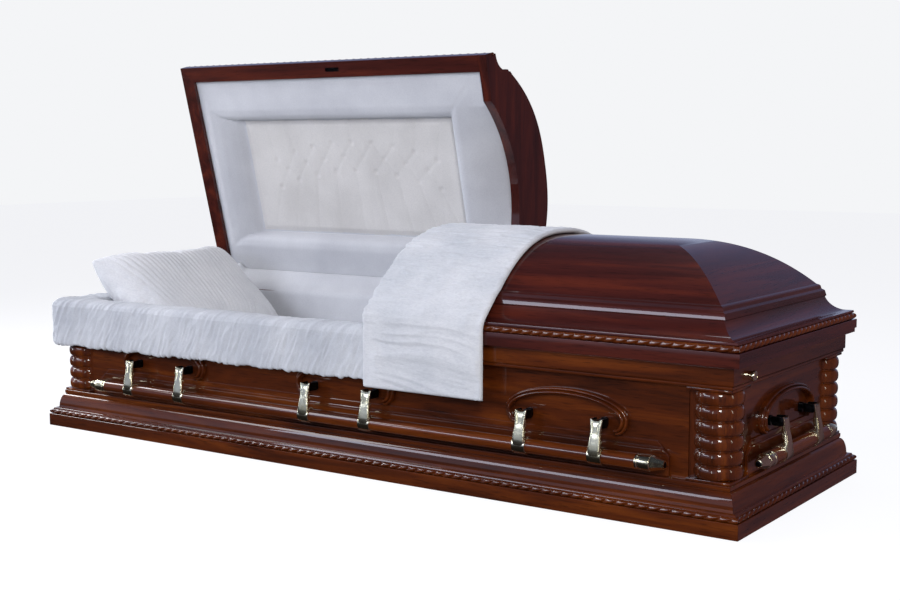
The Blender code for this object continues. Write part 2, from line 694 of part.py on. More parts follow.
def lid_parts(name, split, sign, parent, origin):
    """Shell, end board, rope and hinge leaf of one lid; sign is the way its far end lies."""
    def place(bm):
        bmesh.ops.translate(bm, verts=bm.verts, vec=-origin)
        return bm

    shell_x = split + sign * (HEADER_THICKNESS + GAP)
    chain = [(d, LID_Z + v) for d, v in reversed(lid_inner())] + [(d, LID_Z + v) for d, v in lid_outer()]
    bowl = sweep(chain, corner_stations(shell_x, sign), closed=False)
    shell = make_object(f"{name}_shell", place(bowl), "mahogany")
    outline = [(-(HALF_W - d), LID_Z + v) for d, v in lid_outer()]
    outline += [(-y, z) for y, z in reversed(outline[:-1])]
    for k in range(HEADER_ARCH_STEPS + 1):
        y = HEADER_ARCH_HALF * math.cos(math.pi * k / HEADER_ARCH_STEPS)
        rise = HEADER_ARCH_RISE * (1 - abs(y / HEADER_ARCH_HALF) ** HEADER_ARCH_POWER)
        outline.append((y, LID_Z + rise))
    ends = sorted((split, split + sign * HEADER_THICKNESS))
    header = make_object(f"{name}_end_board", place(prism(outline, *ends, "X")), "mahogany")
    rope = [(d, LID_Z + z) for d, z in rope_profile(LID_INSET, LID_FASCIA, LID_ROPE_HEIGHT, LID_ROPE_DEPTH)]
    strip = make_object(f"{name}_rope", place(sweep(rope, corner_stations(split, sign))), "mahogany")
    # The rebate along the back edge that the hinge lies in
    rebates = []
    for piece in (shell, header):
        low = (-HALF_L, HALF_W - LID_INSET - REBATE_WIDTH, LID_Z - REBATE_OVER)
        high = (HALF_L, HALF_W, LID_Z + REBATE_HEIGHT)
        rebates.append((piece, make_object("rebate", place(box_mesh(low, high)), "mahogany")))
    for piece, cutter in rebates:
        boolean(piece, "DIFFERENCE", cutter)
    for piece in (shell, header, strip):
        piece.parent = parent
    return shell


def hinge(name, split, sign, parent, origin):
    """A long three-knuckle hinge: the body's leaf has the two end knuckles, the lid's the middle one."""
    near = split + sign * HINGE_END_MARGIN
    far = sign * (HALF_L - HINGE_END_MARGIN)
    third = (far - near) / 3
    spans = [sorted((near + k * third, near + (k + 1) * third)) for k in range(3)]
    centre = Vector((0, HINGE_Y, HINGE_Z))

    def barrel(span):
        bm = turned([(HINGE_BARREL, span[0] + GAP), (HINGE_BARREL, span[1] - GAP)], HINGE_SIDES, axis="X")
        bmesh.ops.translate(bm, verts=bm.verts, vec=centre)
        return bm

    leaf_y = HALF_W - RAIL_INSET + GAP
    web_z = HINGE_Z - HINGE_BARREL
    whole = sorted((near, far))
    low = (whole[0], leaf_y, web_z - HINGE_LEAF_HEIGHT)
    plate = box_mesh(low, (whole[1], leaf_y + HINGE_LEAF, web_z + HINGE_LEAF))
    body_leaf = make_object(f"{name}_hinge_body_leaf", plate, "antique_brass")
    tools = []
    for span in (spans[0], spans[2]):
        tools.append(make_object("knuckle", barrel(span), "antique_brass"))
        low = (span[0] + GAP, leaf_y, web_z)
        high = (span[1] - GAP, HINGE_Y, web_z + HINGE_LEAF)
        tools.append(make_object("web", box_mesh(low, high), "antique_brass"))
    boolean(body_leaf, "UNION", *tools)
    ceiling = LID_Z + REBATE_HEIGHT - GAP
    back = HALF_W - LID_INSET
    low = (whole[0], back - REBATE_WIDTH + HINGE_GAP, ceiling - HINGE_LEAF)
    plate = box_mesh(low, (whole[1], back - HINGE_GAP, ceiling))
    bmesh.ops.translate(plate, verts=plate.verts, vec=-origin)
    lid_leaf = make_object(f"{name}_hinge_lid_leaf", plate, "antique_brass")
    middle = barrel(spans[1])
    low = (spans[1][0] + GAP, HINGE_Y - HINGE_LEAF / 2, HINGE_Z)
    post = box_mesh(low, (spans[1][1] - GAP, HINGE_Y + HINGE_LEAF / 2, ceiling - HINGE_LEAF / 2))
    for bm in (middle, post):
        bmesh.ops.translate(bm, verts=bm.verts, vec=-origin)
    knuckle = make_object("knuckle", middle, "antique_brass")
    web = make_object("web", post, "antique_brass")
    boolean(lid_leaf, "UNION", knuckle, web)
    lid_leaf.parent = parent


def lids():
    origin = Vector((0, HINGE_Y, HINGE_Z))
    axes = {}
    for name, angle in (("head_lid", HEAD_LID_OPEN), ("foot_lid", 0)):
        axis = bpy.data.objects.new(f"{name}_axis", None)
        bpy.context.scene.collection.objects.link(axis)
        axis.location = origin
        axis.rotation_euler = (-math.radians(angle), 0, 0)
        axes[name] = axis
    shell = lid_parts("head_lid", SPLIT_X, -1, axes["head_lid"], origin)
    lid_parts("foot_lid", FOOT_SPLIT_X, 1, axes["foot_lid"], origin)
    hinge("head_lid", SPLIT_X, -1, axes["head_lid"], origin)
    hinge("foot_lid", FOOT_SPLIT_X, 1, axes["foot_lid"], origin)
    # Black catch let into the head lid's front rail
    y = -(HALF_W - LID_INSET - LID_FRAME_WIDTH / 2)
    low = Vector((CATCH_X - CATCH_LENGTH / 2, y - CATCH_WIDTH / 2, LID_Z))
    high = Vector((CATCH_X + CATCH_LENGTH / 2, y + CATCH_WIDTH / 2, LID_Z + CATCH_DEPTH))
    margin = Vector((GAP, GAP, GAP))
    room = box_mesh(low - margin - origin - Vector((0, 0, GAP)), high + margin - origin)
    pocket = make_object("pocket", room, "dark_metal")
    parent = shell.parent
    shell.parent = None
    boolean(shell, "DIFFERENCE", pocket)
    shell.parent = parent
    catch = box_mesh(low - origin, high - origin)
    make_object("head_lid_catch", catch, "dark_metal", parent=axes["head_lid"])
    # Small latch under the foot lid's fascia, in front of the rail
    y = -(HALF_W - LID_INSET - LATCH_INSET)
    low = Vector((LATCH_X - LATCH_LENGTH / 2, y, LID_Z - LATCH_HEIGHT))
    high = Vector((LATCH_X + LATCH_LENGTH / 2, y + LATCH_DEPTH, LID_Z - GAP))
    latch = box_mesh(low - origin, high - origin)
    make_object("foot_lid_latch", latch, "dark_metal", parent=axes["foot_lid"])
    return axes, origin


def knob():
    """The round cover of the locking key's hole, on the foot end of the rail."""
    stem = KNOB_RADIUS * KNOB_STEM
    profile = [(stem, GAP), (stem, KNOB_PROUD * KNOB_STEM_END), (KNOB_RADIUS, KNOB_PROUD * KNOB_RIM_START)]
    profile += [(KNOB_RADIUS, KNOB_PROUD * KNOB_RIM_END), (KNOB_RADIUS * KNOB_FACE, KNOB_PROUD)]
    place = (HALF_L - RAIL_INSET, -(HALF_W - KNOB_Y_INSET), RAIL_TOP - KNOB_DROP)
    make_object("key_cover", turned(profile, BAR_SIDES, axis="X"), "antique_brass", location=place)


# Upholstery

def body_soft():
    x, y = HALF_L - LINING_INSET, HALF_W - LINING_INSET
    low = (-x, -y, LINING_Z)
    lining = make_object("body_lining", box_mesh(low, (x, y, RAIL_Z - GAP)), "satin")
    x, y = x - LINING_THICKNESS, y - LINING_THICKNESS
    low = (-x, -y, LINING_Z + LINING_THICKNESS)
    boolean(lining, "DIFFERENCE", make_object("room", box_mesh(low, (x, y, RAIL_TOP)), "satin"))
    x, y = x - MATTRESS_MARGIN, y - MATTRESS_MARGIN
    low = (-x, -y, MATTRESS_Z)
    mattress = box_mesh(low, (x, y, MATTRESS_TOP))
    bmesh.ops.bevel(mattress, geom=mattress.edges[:], offset=MATTRESS_EDGE, segments=2, affect="EDGES")
    make_object("mattress", mattress, "crepe")


def pillow():
    """A soft pillow leaning on the head end: a lens with pointed corners, flat where it lies."""
    tilt = math.radians(PILLOW_TILT)
    along = Vector((math.cos(tilt), 0, -math.sin(tilt)))
    normal = Vector((math.sin(tilt), 0, math.cos(tilt)))
    centre = Vector((-(HALF_L - PILLOW_CENTRE_INSET), 0, MATTRESS_TOP + PILLOW_LIFT))
    bm = bmesh.new()
    n = PILLOW_STEPS
    sheets = {}
    for side in (1, -1):
        for i in range(n + 1):
            for j in range(n + 1):
                if side == -1 and (i in (0, n) or j in (0, n)):
                    sheets[(side, i, j)] = sheets[(1, i, j)]
                    continue
                u, v = math.sin(math.pi / 2 * (2 * i / n - 1)), math.sin(math.pi / 2 * (2 * j / n - 1))
                fullness = (1 - u ** PILLOW_ROUNDNESS) * (1 - v ** PILLOW_ROUNDNESS)
                thick = PILLOW_HALF_THICKNESS * math.sqrt(max(0.0, fullness))
                pull = 1 - PILLOW_PULL * (1 - v * v) * abs(u) ** 3
                waist = 1 - PILLOW_PULL * (1 - u * u) * abs(v) ** 3
                point = centre + along * (u * PILLOW_HALF_LENGTH * pull) + normal * (side * thick)
                point.y = v * PILLOW_HALF_WIDTH * waist
                point.z = max(point.z, MATTRESS_TOP + CLOTH_GAP)
                sheets[(side, i, j)] = bm.verts.new(point)
        for i in range(n):
            for j in range(n):
                corners = [sheets[(side, i + a, j + b)] for a, b in ((0, 0), (1, 0), (1, 1), (0, 1))]
                bm.faces.new(corners if side == 1 else corners[::-1])
    make_object("pillow", bm, "crepe")


def skirt():
    """Gathered cloth over the front and head rails: an upturned channel with a scalloped edge."""
    outer = RAIL_INSET - SKIRT_CLEAR
    inner = RAIL_INSET + RAIL_WIDTH + SKIRT_CLEAR
    under = RAIL_TOP + SKIRT_CLEAR
    top = RAIL_TOP + SKIRT_TOP
    hem = RAIL_TOP - SKIRT_DROP
    tuck = RAIL_TOP - SKIRT_TUCK
    face = outer - SKIRT_THICKNESS
    lining = inner + SKIRT_LINING
    profile = [
        (outer, hem), (outer, under), (inner, under), (inner, tuck), (lining, tuck), (lining, under),
        ((inner + lining) / 2, top - SKIRT_CROWN_IN), ((outer + inner) / 2, top),
        (outer, top - SKIRT_CROWN_OUT),
        (face + SKIRT_SHOULDER[0], under - SKIRT_SHOULDER[1]), (face, under - SKIRT_FACE_DROP),
        (face + SKIRT_WAIST, (under + hem) / 2), (face, hem + SKIRT_HEM[1]), (face + SKIRT_HEM[0], hem),
    ]
    front = HALF_L + SPLIT_X
    count = round(2 * front / SKIRT_SCALLOP_PITCH)
    back_end = 2 * HALF_W - RAIL_INSET - RAIL_WIDTH - SKIRT_CLEAR
    stations = []

    def wave(z, phase):
        share = min(1.0, max(0.0, (under - z) / (under - hem)))
        return SKIRT_SCALLOP * share * (1 + math.cos(math.pi * phase)) / 2

    for k in range(count):
        x = SPLIT_X - GAP - (front - inner) * k / (count - 0.5)

        def place(d, z, x=x, k=k):
            return (x, -(HALF_W - d), z + wave(z, k))

        stations.append(place)
    stations.append(lambda d, z: (-(HALF_L - d), -(HALF_W - d), z))
    head_count = round(2 * (back_end - inner) / SKIRT_SCALLOP_PITCH)
    for k in range(1, head_count + 1):
        y = -HALF_W + inner + (back_end - inner) * (k - 0.5) / (head_count - 0.5)

        def place(d, z, y=y, k=k):
            return (-(HALF_L - d), y, z + wave(z, k))

        stations.append(place)
    make_object("skirt", sweep(profile, stations), "crepe")


def throw(axis, origin):
    """Folded cloth over the foot lid: it lies on the dome, hangs at the front and laps the lid's end."""
    outside = lid_outer()
    ledge = COVE_Z + LID_COVE_RISE + THROW_LEDGE
    kept = [(LID_INSET, 0.0), (LID_INSET, LID_FASCIA), (LID_INSET, LID_FASCIA + LID_ROPE_HEIGHT)]
    kept += [(d, v) for d, v in outside if abs(v - ledge) < WELD or v > DOME_FOOT - WELD]
    kept = [(-(HALF_W - d), v) for d, v in kept]
    half_outline = [Vector(p) for p in kept]
    back_outline = [Vector((-y, v)) for y, v in reversed(kept[:-1]) if v > THROW_BACK_STOP]
    outline = half_outline + back_outline

    def offset(points, distance):
        result = []
        for i, point in enumerate(points):
            ahead = points[min(i + 1, len(points) - 1)] - points[max(i - 1, 0)]
            across = Vector((-ahead.y, ahead.x)).normalized()
            result.append(point + across * distance)
        return result

    under = offset(outline, CLOTH_GAP)
    over = offset(outline, CLOTH_GAP + THROW_THICKNESS)
    hem = -THROW_DROP
    under[0] = Vector((-(HALF_W - LID_INSET) - CLOTH_GAP, hem))
    over[0] = Vector((-(HALF_W - LID_INSET) - CLOTH_GAP - THROW_THICKNESS, hem))
    loop = under + over[::-1]
    section = [(p.x, LID_Z + p.y) for p in loop]
    start = SPLIT_X + (SPLIT_GAP - THROW_LIP) * THROW_LAP_START
    slab = prism(section, start + THROW_LIP, FOOT_SPLIT_X + THROW_LENGTH, "X")
    bmesh.ops.translate(slab, verts=slab.verts, vec=-origin)
    made = make_object("throw", slab, "crepe")
    # The lap over the lid's end, down to the end board's arch
    lap = [(p.x, LID_Z + p.y) for p in over if p.y > 0.0]
    first = lap[0]
    lap[0] = (first[0], LID_Z + CLOTH_GAP)
    y_back = min(lap[-1][0], HALF_W - LID_INSET)
    lap.append((y_back, LID_Z + CLOTH_GAP))
    inner_half = HEADER_ARCH_HALF - THROW_LAP_IN
    for k in range(HEADER_ARCH_STEPS + 1):
        y = inner_half * math.cos(math.pi * k / HEADER_ARCH_STEPS)
        rise = (HEADER_ARCH_RISE - THROW_LAP_DOWN) * (1 - abs(y / inner_half) ** HEADER_ARCH_POWER)
        lap.append((y, LID_Z + CLOTH_GAP + rise))
    lip = prism(lap, start, start + THROW_LIP, "X")
    bmesh.ops.translate(lip, verts=lip.verts, vec=-origin)
    boolean(made, "UNION", make_object("lip", lip, "crepe"))
    made.parent = axis


def lid_soft(axes, origin):
    edge = CAVITY_INSET + GAP
    inside = SPLIT_X - HEADER_THICKNESS - GAP
    w, r = ROLL_WIDTH, ROLL_RECESS
    roll = [(edge + share * w, height) for share, height in ROLL_FACE]
    roll += [(edge + w, r), (edge + w, r + ROLL_DEPTH), (edge + ROLL_HEEL_AT * w, r + ROLL_HEEL)]
    roll.append((edge, LID_FRAME_HEIGHT - ROLL_EDGE))
    profile = [(d, LID_Z + v) for d, v in roll]
    stations = corner_stations(inside, -1, split_edge=edge)
    bm = sweep(profile, stations, ring=True)
    bmesh.ops.translate(bm, verts=bm.verts, vec=-origin)
    make_object("head_lid_roll_border", bm, "satin", parent=axes["head_lid"])
    middle = edge + w + GAP
    panel_z = LID_Z + r - PANEL_LAP
    low = Vector((-(HALF_L - middle), -(HALF_W - middle), panel_z))
    high = Vector((inside - (middle - edge), HALF_W - middle, panel_z + PANEL_PAD))
    panel = box_mesh(low - origin, high - origin)
    make_object("head_lid_cap_panel", panel, "satin", parent=axes["head_lid"])
    lining_z = LID_Z + FOOT_LINING_LIFT
    low = Vector((FOOT_SPLIT_X + HEADER_THICKNESS + GAP, -(HALF_W - edge), lining_z))
    high = Vector((HALF_L - edge, HALF_W - edge, lining_z + PANEL_PAD))
    lining = box_mesh(low - origin, high - origin)
    make_object("foot_lid_lining", lining, "satin", parent=axes["foot_lid"])


def build():
    for found in list(bpy.data.objects):
        bpy.data.objects.remove(found, do_unlink=True)
    base()
    panels()
    rails()
    columns()
    handles()
    axes, origin = lids()
    knob()
    body_soft()
    pillow()
    skirt()
    throw(axes["foot_lid"], origin)
    lid_soft(axes, origin)


build()
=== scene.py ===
import math

import bmesh
import bpy
import numpy as np
from mathutils import Matrix, Vector


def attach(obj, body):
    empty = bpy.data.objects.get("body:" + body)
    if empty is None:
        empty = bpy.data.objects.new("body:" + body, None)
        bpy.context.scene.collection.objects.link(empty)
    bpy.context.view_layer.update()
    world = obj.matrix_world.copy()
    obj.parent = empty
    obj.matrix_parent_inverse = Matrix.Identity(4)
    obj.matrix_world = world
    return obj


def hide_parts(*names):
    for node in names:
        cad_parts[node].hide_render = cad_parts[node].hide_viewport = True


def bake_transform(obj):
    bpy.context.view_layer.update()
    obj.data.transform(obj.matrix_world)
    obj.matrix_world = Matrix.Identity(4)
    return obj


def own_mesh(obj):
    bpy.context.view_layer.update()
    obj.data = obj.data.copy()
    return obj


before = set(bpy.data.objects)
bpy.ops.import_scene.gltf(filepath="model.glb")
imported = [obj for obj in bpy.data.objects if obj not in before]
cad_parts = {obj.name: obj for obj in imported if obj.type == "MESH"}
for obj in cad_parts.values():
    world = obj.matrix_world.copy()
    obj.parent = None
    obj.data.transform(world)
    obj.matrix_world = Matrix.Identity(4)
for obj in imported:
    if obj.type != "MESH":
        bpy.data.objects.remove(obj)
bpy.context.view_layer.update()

# Half-couch casket, seen from its front right, head lid open. +X foot end, -Y front, metres.

box = {
    "halfLength": 1.05,
    "halfWidth": 0.364,
    "baseTop": 0.1005,
    "panelFoot": 0.1008,
    "railFoot": 0.3076,
    "railTop": 0.3486,
    "lidFoot": 0.3491,
    "panelInset": 0.050,
    "wallInset": 0.068,
    "railInset": 0.028,
    "railWidth": 0.050,
    "splitX": 0.088,
    "footSplitX": 0.100,
    "hinge": Vector((0, 0.350, 0.3501)),
    "headLidAngle": 75.5,
    "gap": 0.0003,
}

turns = {"front": 0, "foot": 90, "back": 180, "head": -90}


# Small tools

def hexColour(code):
    values = [int(code[i:i + 2], 16) / 255 for i in (1, 3, 5)]
    return (*[v / 12.92 if v <= 0.04045 else ((v + 0.055) / 1.055) ** 2.4 for v in values], 1.0)


def plugIn(tree, node, inputs):
    # a socket is linked, any other value is set
    for key, value in inputs.items():
        if isinstance(value, bpy.types.NodeSocket):
            tree.links.new(value, node.inputs[key])
        else:
            node.inputs[key].default_value = value
    return node


def addNode(tree, kind, settings=None, inputs=None):
    node = tree.nodes.new(kind)
    for key, value in (settings or {}).items():
        if key == "stops":
            ramp = node.color_ramp
            while len(ramp.elements) < len(value):
                ramp.elements.new(0.5)
            for element, (place, colour) in zip(ramp.elements, value):
                element.position = place
                element.color = hexColour(colour)
        else:
            setattr(node, key, value)
    return plugIn(tree, node, inputs or {})


def smoothNoise(u, v, seed):
    # a smooth random field between -1 and 1, one cell to the unit
    table = np.random.RandomState(seed).rand(256, 256) * 2 - 1
    u, v = np.broadcast_arrays(u, v)
    i, j = np.floor(u).astype(int), np.floor(v).astype(int)
    a, b = u - i, v - j
    a, b = a * a * (3 - 2 * a), b * b * (3 - 2 * b)
    low = table[i % 256, j % 256] * (1 - a) + table[(i + 1) % 256, j % 256] * a
    high = table[i % 256, (j + 1) % 256] * (1 - a) + table[(i + 1) % 256, (j + 1) % 256] * a
    return low * (1 - b) + high * b


def ridgeNoise(u, v, seed):
    # sharp crests and broad hollows, as gathered cloth has
    return 1 - 2 * np.abs(smoothNoise(u, v, seed)) ** 0.8


def addPiece(name, mesh, materials, body, replaced=(), sharp=16):
    mesh.name = name
    for entry in materials:
        mesh.materials.append(entry)
    mesh.shade_smooth()
    if sharp:
        mesh.set_sharp_from_angle(angle=math.radians(sharp))
    piece = bpy.data.objects.new(name, mesh)
    bpy.context.scene.collection.objects.link(piece)
    if body:
        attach(piece, body)
    if replaced:
        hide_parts(*replaced)
    return piece


def meshFrom(bm, weld=0.00001):
    if weld:
        bmesh.ops.remove_doubles(bm, verts=bm.verts, dist=weld)
        bmesh.ops.dissolve_degenerate(bm, edges=bm.edges, dist=weld)
    bmesh.ops.recalc_face_normals(bm, faces=bm.faces)
    if bm.calc_volume(signed=True) < 0:
        bmesh.ops.reverse_faces(bm, faces=bm.faces)
    mesh = bpy.data.meshes.new("mesh")
    bm.to_mesh(mesh)
    bm.free()
    return mesh


def gridMesh(points, closeRows=False, closeCols=False, caps=False):
    # points: array rows x columns x 3; caps close the first and last row
    rows, cols = points.shape[:2]
    bm = bmesh.new()
    verts = [bm.verts.new(p) for p in points.reshape(-1, 3)]
    for r in range(rows if closeRows else rows - 1):
        for c in range(cols if closeCols else cols - 1):
            a, b = (r + 1) % rows, (c + 1) % cols
            bm.faces.new((verts[r * cols + c], verts[r * cols + b], verts[a * cols + b], verts[a * cols + c]))
    if caps:
        bm.faces.new(verts[:cols][::-1])
        bm.faces.new(verts[-cols:])
    return bm


def applied(piece, *changes):
    # adds modifiers as (kind, settings) and bakes them into the mesh
    for kind, settings in changes:
        change = piece.modifiers.new(kind.title(), kind)
        for key, value in settings.items():
            setattr(change, key, value)
    graph = bpy.context.evaluated_depsgraph_get()
    shaped = bpy.data.meshes.new_from_object(piece.evaluated_get(graph))
    piece.modifiers.clear()
    piece.data = shaped
    return piece


def refinish(name, material):
    # a CAD piece that keeps its form gets its finish
    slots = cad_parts[name].data.materials
    slots.clear()
    slots.append(material)


def sideSizes(side):
    # half the length of a side of the box, and how far it stands from the middle
    sizes = (box["halfLength"], box["halfWidth"])
    return sizes if side in ("front", "back") else sizes[::-1]


def turnedMesh(mesh, side):
    # carries a mesh made for the front round to its own side
    mesh.transform(Matrix.Rotation(math.radians(turns[side]), 4, "Z"))
    return mesh


def openedMesh(mesh):
    # carries a closed head lid's mesh to its open place
    hinge = Matrix.Translation(box["hinge"])
    mesh.transform(hinge @ Matrix.Rotation(-math.radians(box["headLidAngle"]), 4, "X") @ hinge.inverted())
    return mesh


def pathNormals(path):
    # unit vectors to the left of a path of two coordinates
    ahead = np.gradient(path, axis=0)
    ahead /= np.linalg.norm(ahead, axis=1)[:, None]
    return np.stack([-ahead[:, 1], ahead[:, 0]], 1)


def arcAngles(steps, span=math.pi / 2, first=0):
    return [span * k / steps for k in range(first, steps + 1)]


def fillet(points, radius, closed=False, steps=3):
    # rounds the corners of an outline
    result = []
    count = len(points)
    for i, point in enumerate(points):
        here = Vector(point)
        if not closed and i in (0, count - 1):
            result.append(tuple(here))
            continue
        before, after = Vector(points[i - 1]) - here, Vector(points[(i + 1) % count]) - here
        if min(before.length, after.length) < 1e-6 or before.angle(after) > math.radians(158):
            result.append(tuple(here))
            continue
        cut = min(radius, 0.45 * before.length, 0.45 * after.length)
        start, end = here + before.normalized() * cut, here + after.normalized() * cut
        for k in range(steps + 1):
            t = k / steps
            result.append(tuple(start * (1 - t) ** 2 + here * 2 * t * (1 - t) + end * t * t))
    return result


def cornerStations(split=None, sign=0):
    # functions of (inset, height) at the corners of the box, or of a lid that ends at its split
    x, y = box["halfLength"], box["halfWidth"]
    if split is None:
        signs = ((-1, -1), (1, -1), (1, 1), (-1, 1))
        return [lambda d, z, sx=sx, sy=sy: (sx * (x - d), sy * (y - d), z) for sx, sy in signs]
    return [
        lambda d, z: (split, -(y - d), z),
        lambda d, z: (sign * (x - d), -(y - d), z),
        lambda d, z: (sign * (x - d), y - d, z),
        lambda d, z: (split, y - d, z),
    ]


def sweepMesh(profile, stations, closed=True, slots=None, capEnds=True):
    # slots gives each length its own material, so that the grain follows the length
    bm = bmesh.new()
    rows = [[bm.verts.new(place(*point)) for point in profile] for place in stations]
    count = len(profile)
    for index, (first, second) in enumerate(zip(rows, rows[1:])):
        for i in range(count if closed else count - 1):
            j = (i + 1) % count
            face = bm.faces.new((first[i], first[j], second[j], second[i]))
            if slots:
                face.material_index = slots[index]
    if capEnds:
        bm.faces.new(rows[0])
        bm.faces.new(rows[-1][::-1])
    return meshFrom(bm)


def lathed(profile, sides, axis="Z"):
    angles = math.tau * (np.arange(sides) + 0.5) / sides
    rows = []
    for radius, along in profile:
        a, b = radius * np.cos(angles), radius * np.sin(angles)
        c = np.full(sides, along)
        rows.append(np.stack([a, b, c] if axis == "Z" else [c, a, b], axis=1))
    return gridMesh(np.array(rows), closeCols=True, caps=True)


def boxMesh(low, high, bevel=0.0):
    bm = bmesh.new()
    size = [b - a for a, b in zip(low, high)]
    middle = [(a + b) / 2 for a, b in zip(low, high)]
    bmesh.ops.create_cube(bm, size=1.0, matrix=Matrix.Translation(middle) @ Matrix.Diagonal((*size, 1.0)))
    if bevel:
        bmesh.ops.bevel(bm, geom=bm.edges[:], offset=bevel, segments=2, profile=0.5, affect="EDGES")
    return bm


def slabMesh(outline, low, high, axis, bevel=0.0):
    # an outline of two coordinates carried along X or Y, its rim bevelled
    bm = bmesh.new()
    rows = []
    for level in (low, high):
        rows.append([bm.verts.new((level, a, b) if axis == "X" else (a, level, b)) for a, b in outline])
    count = len(outline)
    for i in range(count):
        j = (i + 1) % count
        bm.faces.new((rows[0][i], rows[0][j], rows[1][j], rows[1][i]))
    caps = [bm.faces.new(rows[0][::-1]), bm.faces.new(rows[1])]
    if bevel:
        rims = {edge for cap in caps for edge in cap.edges}
        bmesh.ops.bevel(
            bm, geom=list(rims), offset=bevel, segments=2, profile=0.5, affect="EDGES", clamp_overlap=True)
    return bm


def joinMeshes(parts):
    # parts: (mesh or bmesh, material index); one mesh of closed shells
    bm = bmesh.new()
    for part, index in parts:
        mesh = part if isinstance(part, bpy.types.Mesh) else meshFrom(part)
        start = len(bm.faces)
        bm.from_mesh(mesh)
        bm.faces.ensure_lookup_table()
        for face in bm.faces[start:]:
            face.material_index = index
    mesh = bpy.data.meshes.new("mesh")
    bm.to_mesh(mesh)
    bm.free()
    return mesh


# Finishes

wood = {
    "body": ("#280F06", "#502107", "#76390B"),
    # the lid's set is the body's mahogany made darker: painted shade for the lids, which the low front light
    # reaches less
    "lid": ("#2A0D0A", "#401712", "#5C2415"),
    "figureMm": 38,    # width of one band of ribbon figure, across the grain
    "poreMm": 3.0,     # real pores are 0.3 mm wide: drawn coarse so that they show at this size
    "lengthRatio": 14,  # figure runs this much longer along the grain
    "lacquerRoughness": 0.035,
}


def startMaterial(name):
    made = bpy.data.materials.new(name)
    made.use_nodes = True
    tree = made.node_tree
    return made, tree, tree.nodes["Principled BSDF"], addNode(tree, "ShaderNodeTexCoord").outputs["Object"]


def lacqueredMahogany(axis, part="body"):
    # red-stained mahogany under rubbed gloss lacquer: a deep, even colour with soft ribbon figure; with part
    # "lid" the same wood takes a darker set of colours, which is painted shade
    made, tree, shader, place = startMaterial(f"lacquered mahogany, {part}, grain {axis}")

    def grain(widthMm):
        across = 1000 / widthMm
        scale = [across, across, across]
        scale["XYZ".index(axis)] = across / wood["lengthRatio"]
        return addNode(tree, "ShaderNodeMapping", None, {"Vector": place, "Scale": scale}).outputs["Vector"]

    figure = addNode(tree, "ShaderNodeTexNoise", None, {
        "Vector": grain(wood["figureMm"]), "Scale": 1.0, "Detail": 5.0, "Roughness": 0.55, "Distortion": 0.6})
    pores = addNode(tree, "ShaderNodeTexNoise", None, {
        "Vector": grain(wood["poreMm"]), "Scale": 1.0, "Detail": 2.0, "Roughness": 0.5, "Distortion": 0.1})
    ribbon = addNode(tree, "ShaderNodeValToRGB", {"stops": list(zip((0.28, 0.5, 0.76), wood[part]))}, {
        "Fac": figure.outputs["Fac"]})
    dots = addNode(tree, "ShaderNodeValToRGB", {"stops": [(0.30, "#8A8A8A"), (0.44, "#FFFFFF")]}, {
        "Fac": pores.outputs["Fac"]})
    stained = addNode(tree, "ShaderNodeMix", {"data_type": "RGBA", "blend_type": "MULTIPLY"}, {
        "Factor": 0.55, 6: ribbon.outputs["Color"], 7: dots.outputs["Color"]})
    bump = addNode(tree, "ShaderNodeBump", None, {
        "Height": pores.outputs["Fac"], "Strength": 0.04, "Distance": 0.0004})
    plugIn(tree, shader, {
        "Base Color": stained.outputs[2], "Normal": bump.outputs["Normal"], "Roughness": 0.42, "IOR": 1.5,
        "Specular IOR Level": 0.08, "Coat Weight": 1.0, "Coat Roughness": wood["lacquerRoughness"],
        "Coat IOR": 1.5})
    return made


plating = {"light": "#E4E0C4", "dark": "#BDB692", "patchMm": 60, "roughness": (0.14, 0.26)}


def antiqueBrass():
    # zinc casting plated in antique brass and buffed: pale and bright on the crowns, duller in patches
    made, tree, shader, place = startMaterial("antique brass plated casting")
    patch = addNode(tree, "ShaderNodeTexNoise", None, {
        "Vector": place, "Scale": 1000 / plating["patchMm"], "Detail": 4.0, "Roughness": 0.6})
    stops = [(0.32, plating["dark"]), (0.58, plating["light"])]
    colour = addNode(tree, "ShaderNodeValToRGB", {"stops": stops}, {"Fac": patch.outputs["Fac"]})
    low, high = plating["roughness"]
    rough = addNode(tree, "ShaderNodeMapRange", None, {
        "Value": patch.outputs["Fac"], "From Min": 0.3, "From Max": 0.7, "To Min": high, "To Max": low})
    plugIn(tree, shader, {
        "Base Color": colour.outputs["Color"], "Roughness": rough.outputs["Result"], "Metallic": 1.0})
    return made


def blackenedSteel():
    # phosphated steel pressing: near black with a dull sheen and small scuffs
    made, tree, shader, place = startMaterial("blackened steel pressing")
    scuff = addNode(tree, "ShaderNodeTexNoise", None, {"Vector": place, "Scale": 160.0, "Detail": 4.0})
    colour = addNode(tree, "ShaderNodeValToRGB", {"stops": [(0.35, "#0E0E10"), (0.70, "#2C2C30")]}, {
        "Fac": scuff.outputs["Fac"]})
    rough = addNode(tree, "ShaderNodeMapRange", None, {
        "Value": scuff.outputs["Fac"], "From Min": 0.3, "From Max": 0.7, "To Min": 0.28, "To Max": 0.5})
    plugIn(tree, shader, {
        "Base Color": colour.outputs["Color"], "Roughness": rough.outputs["Result"], "Metallic": 1.0})
    return made


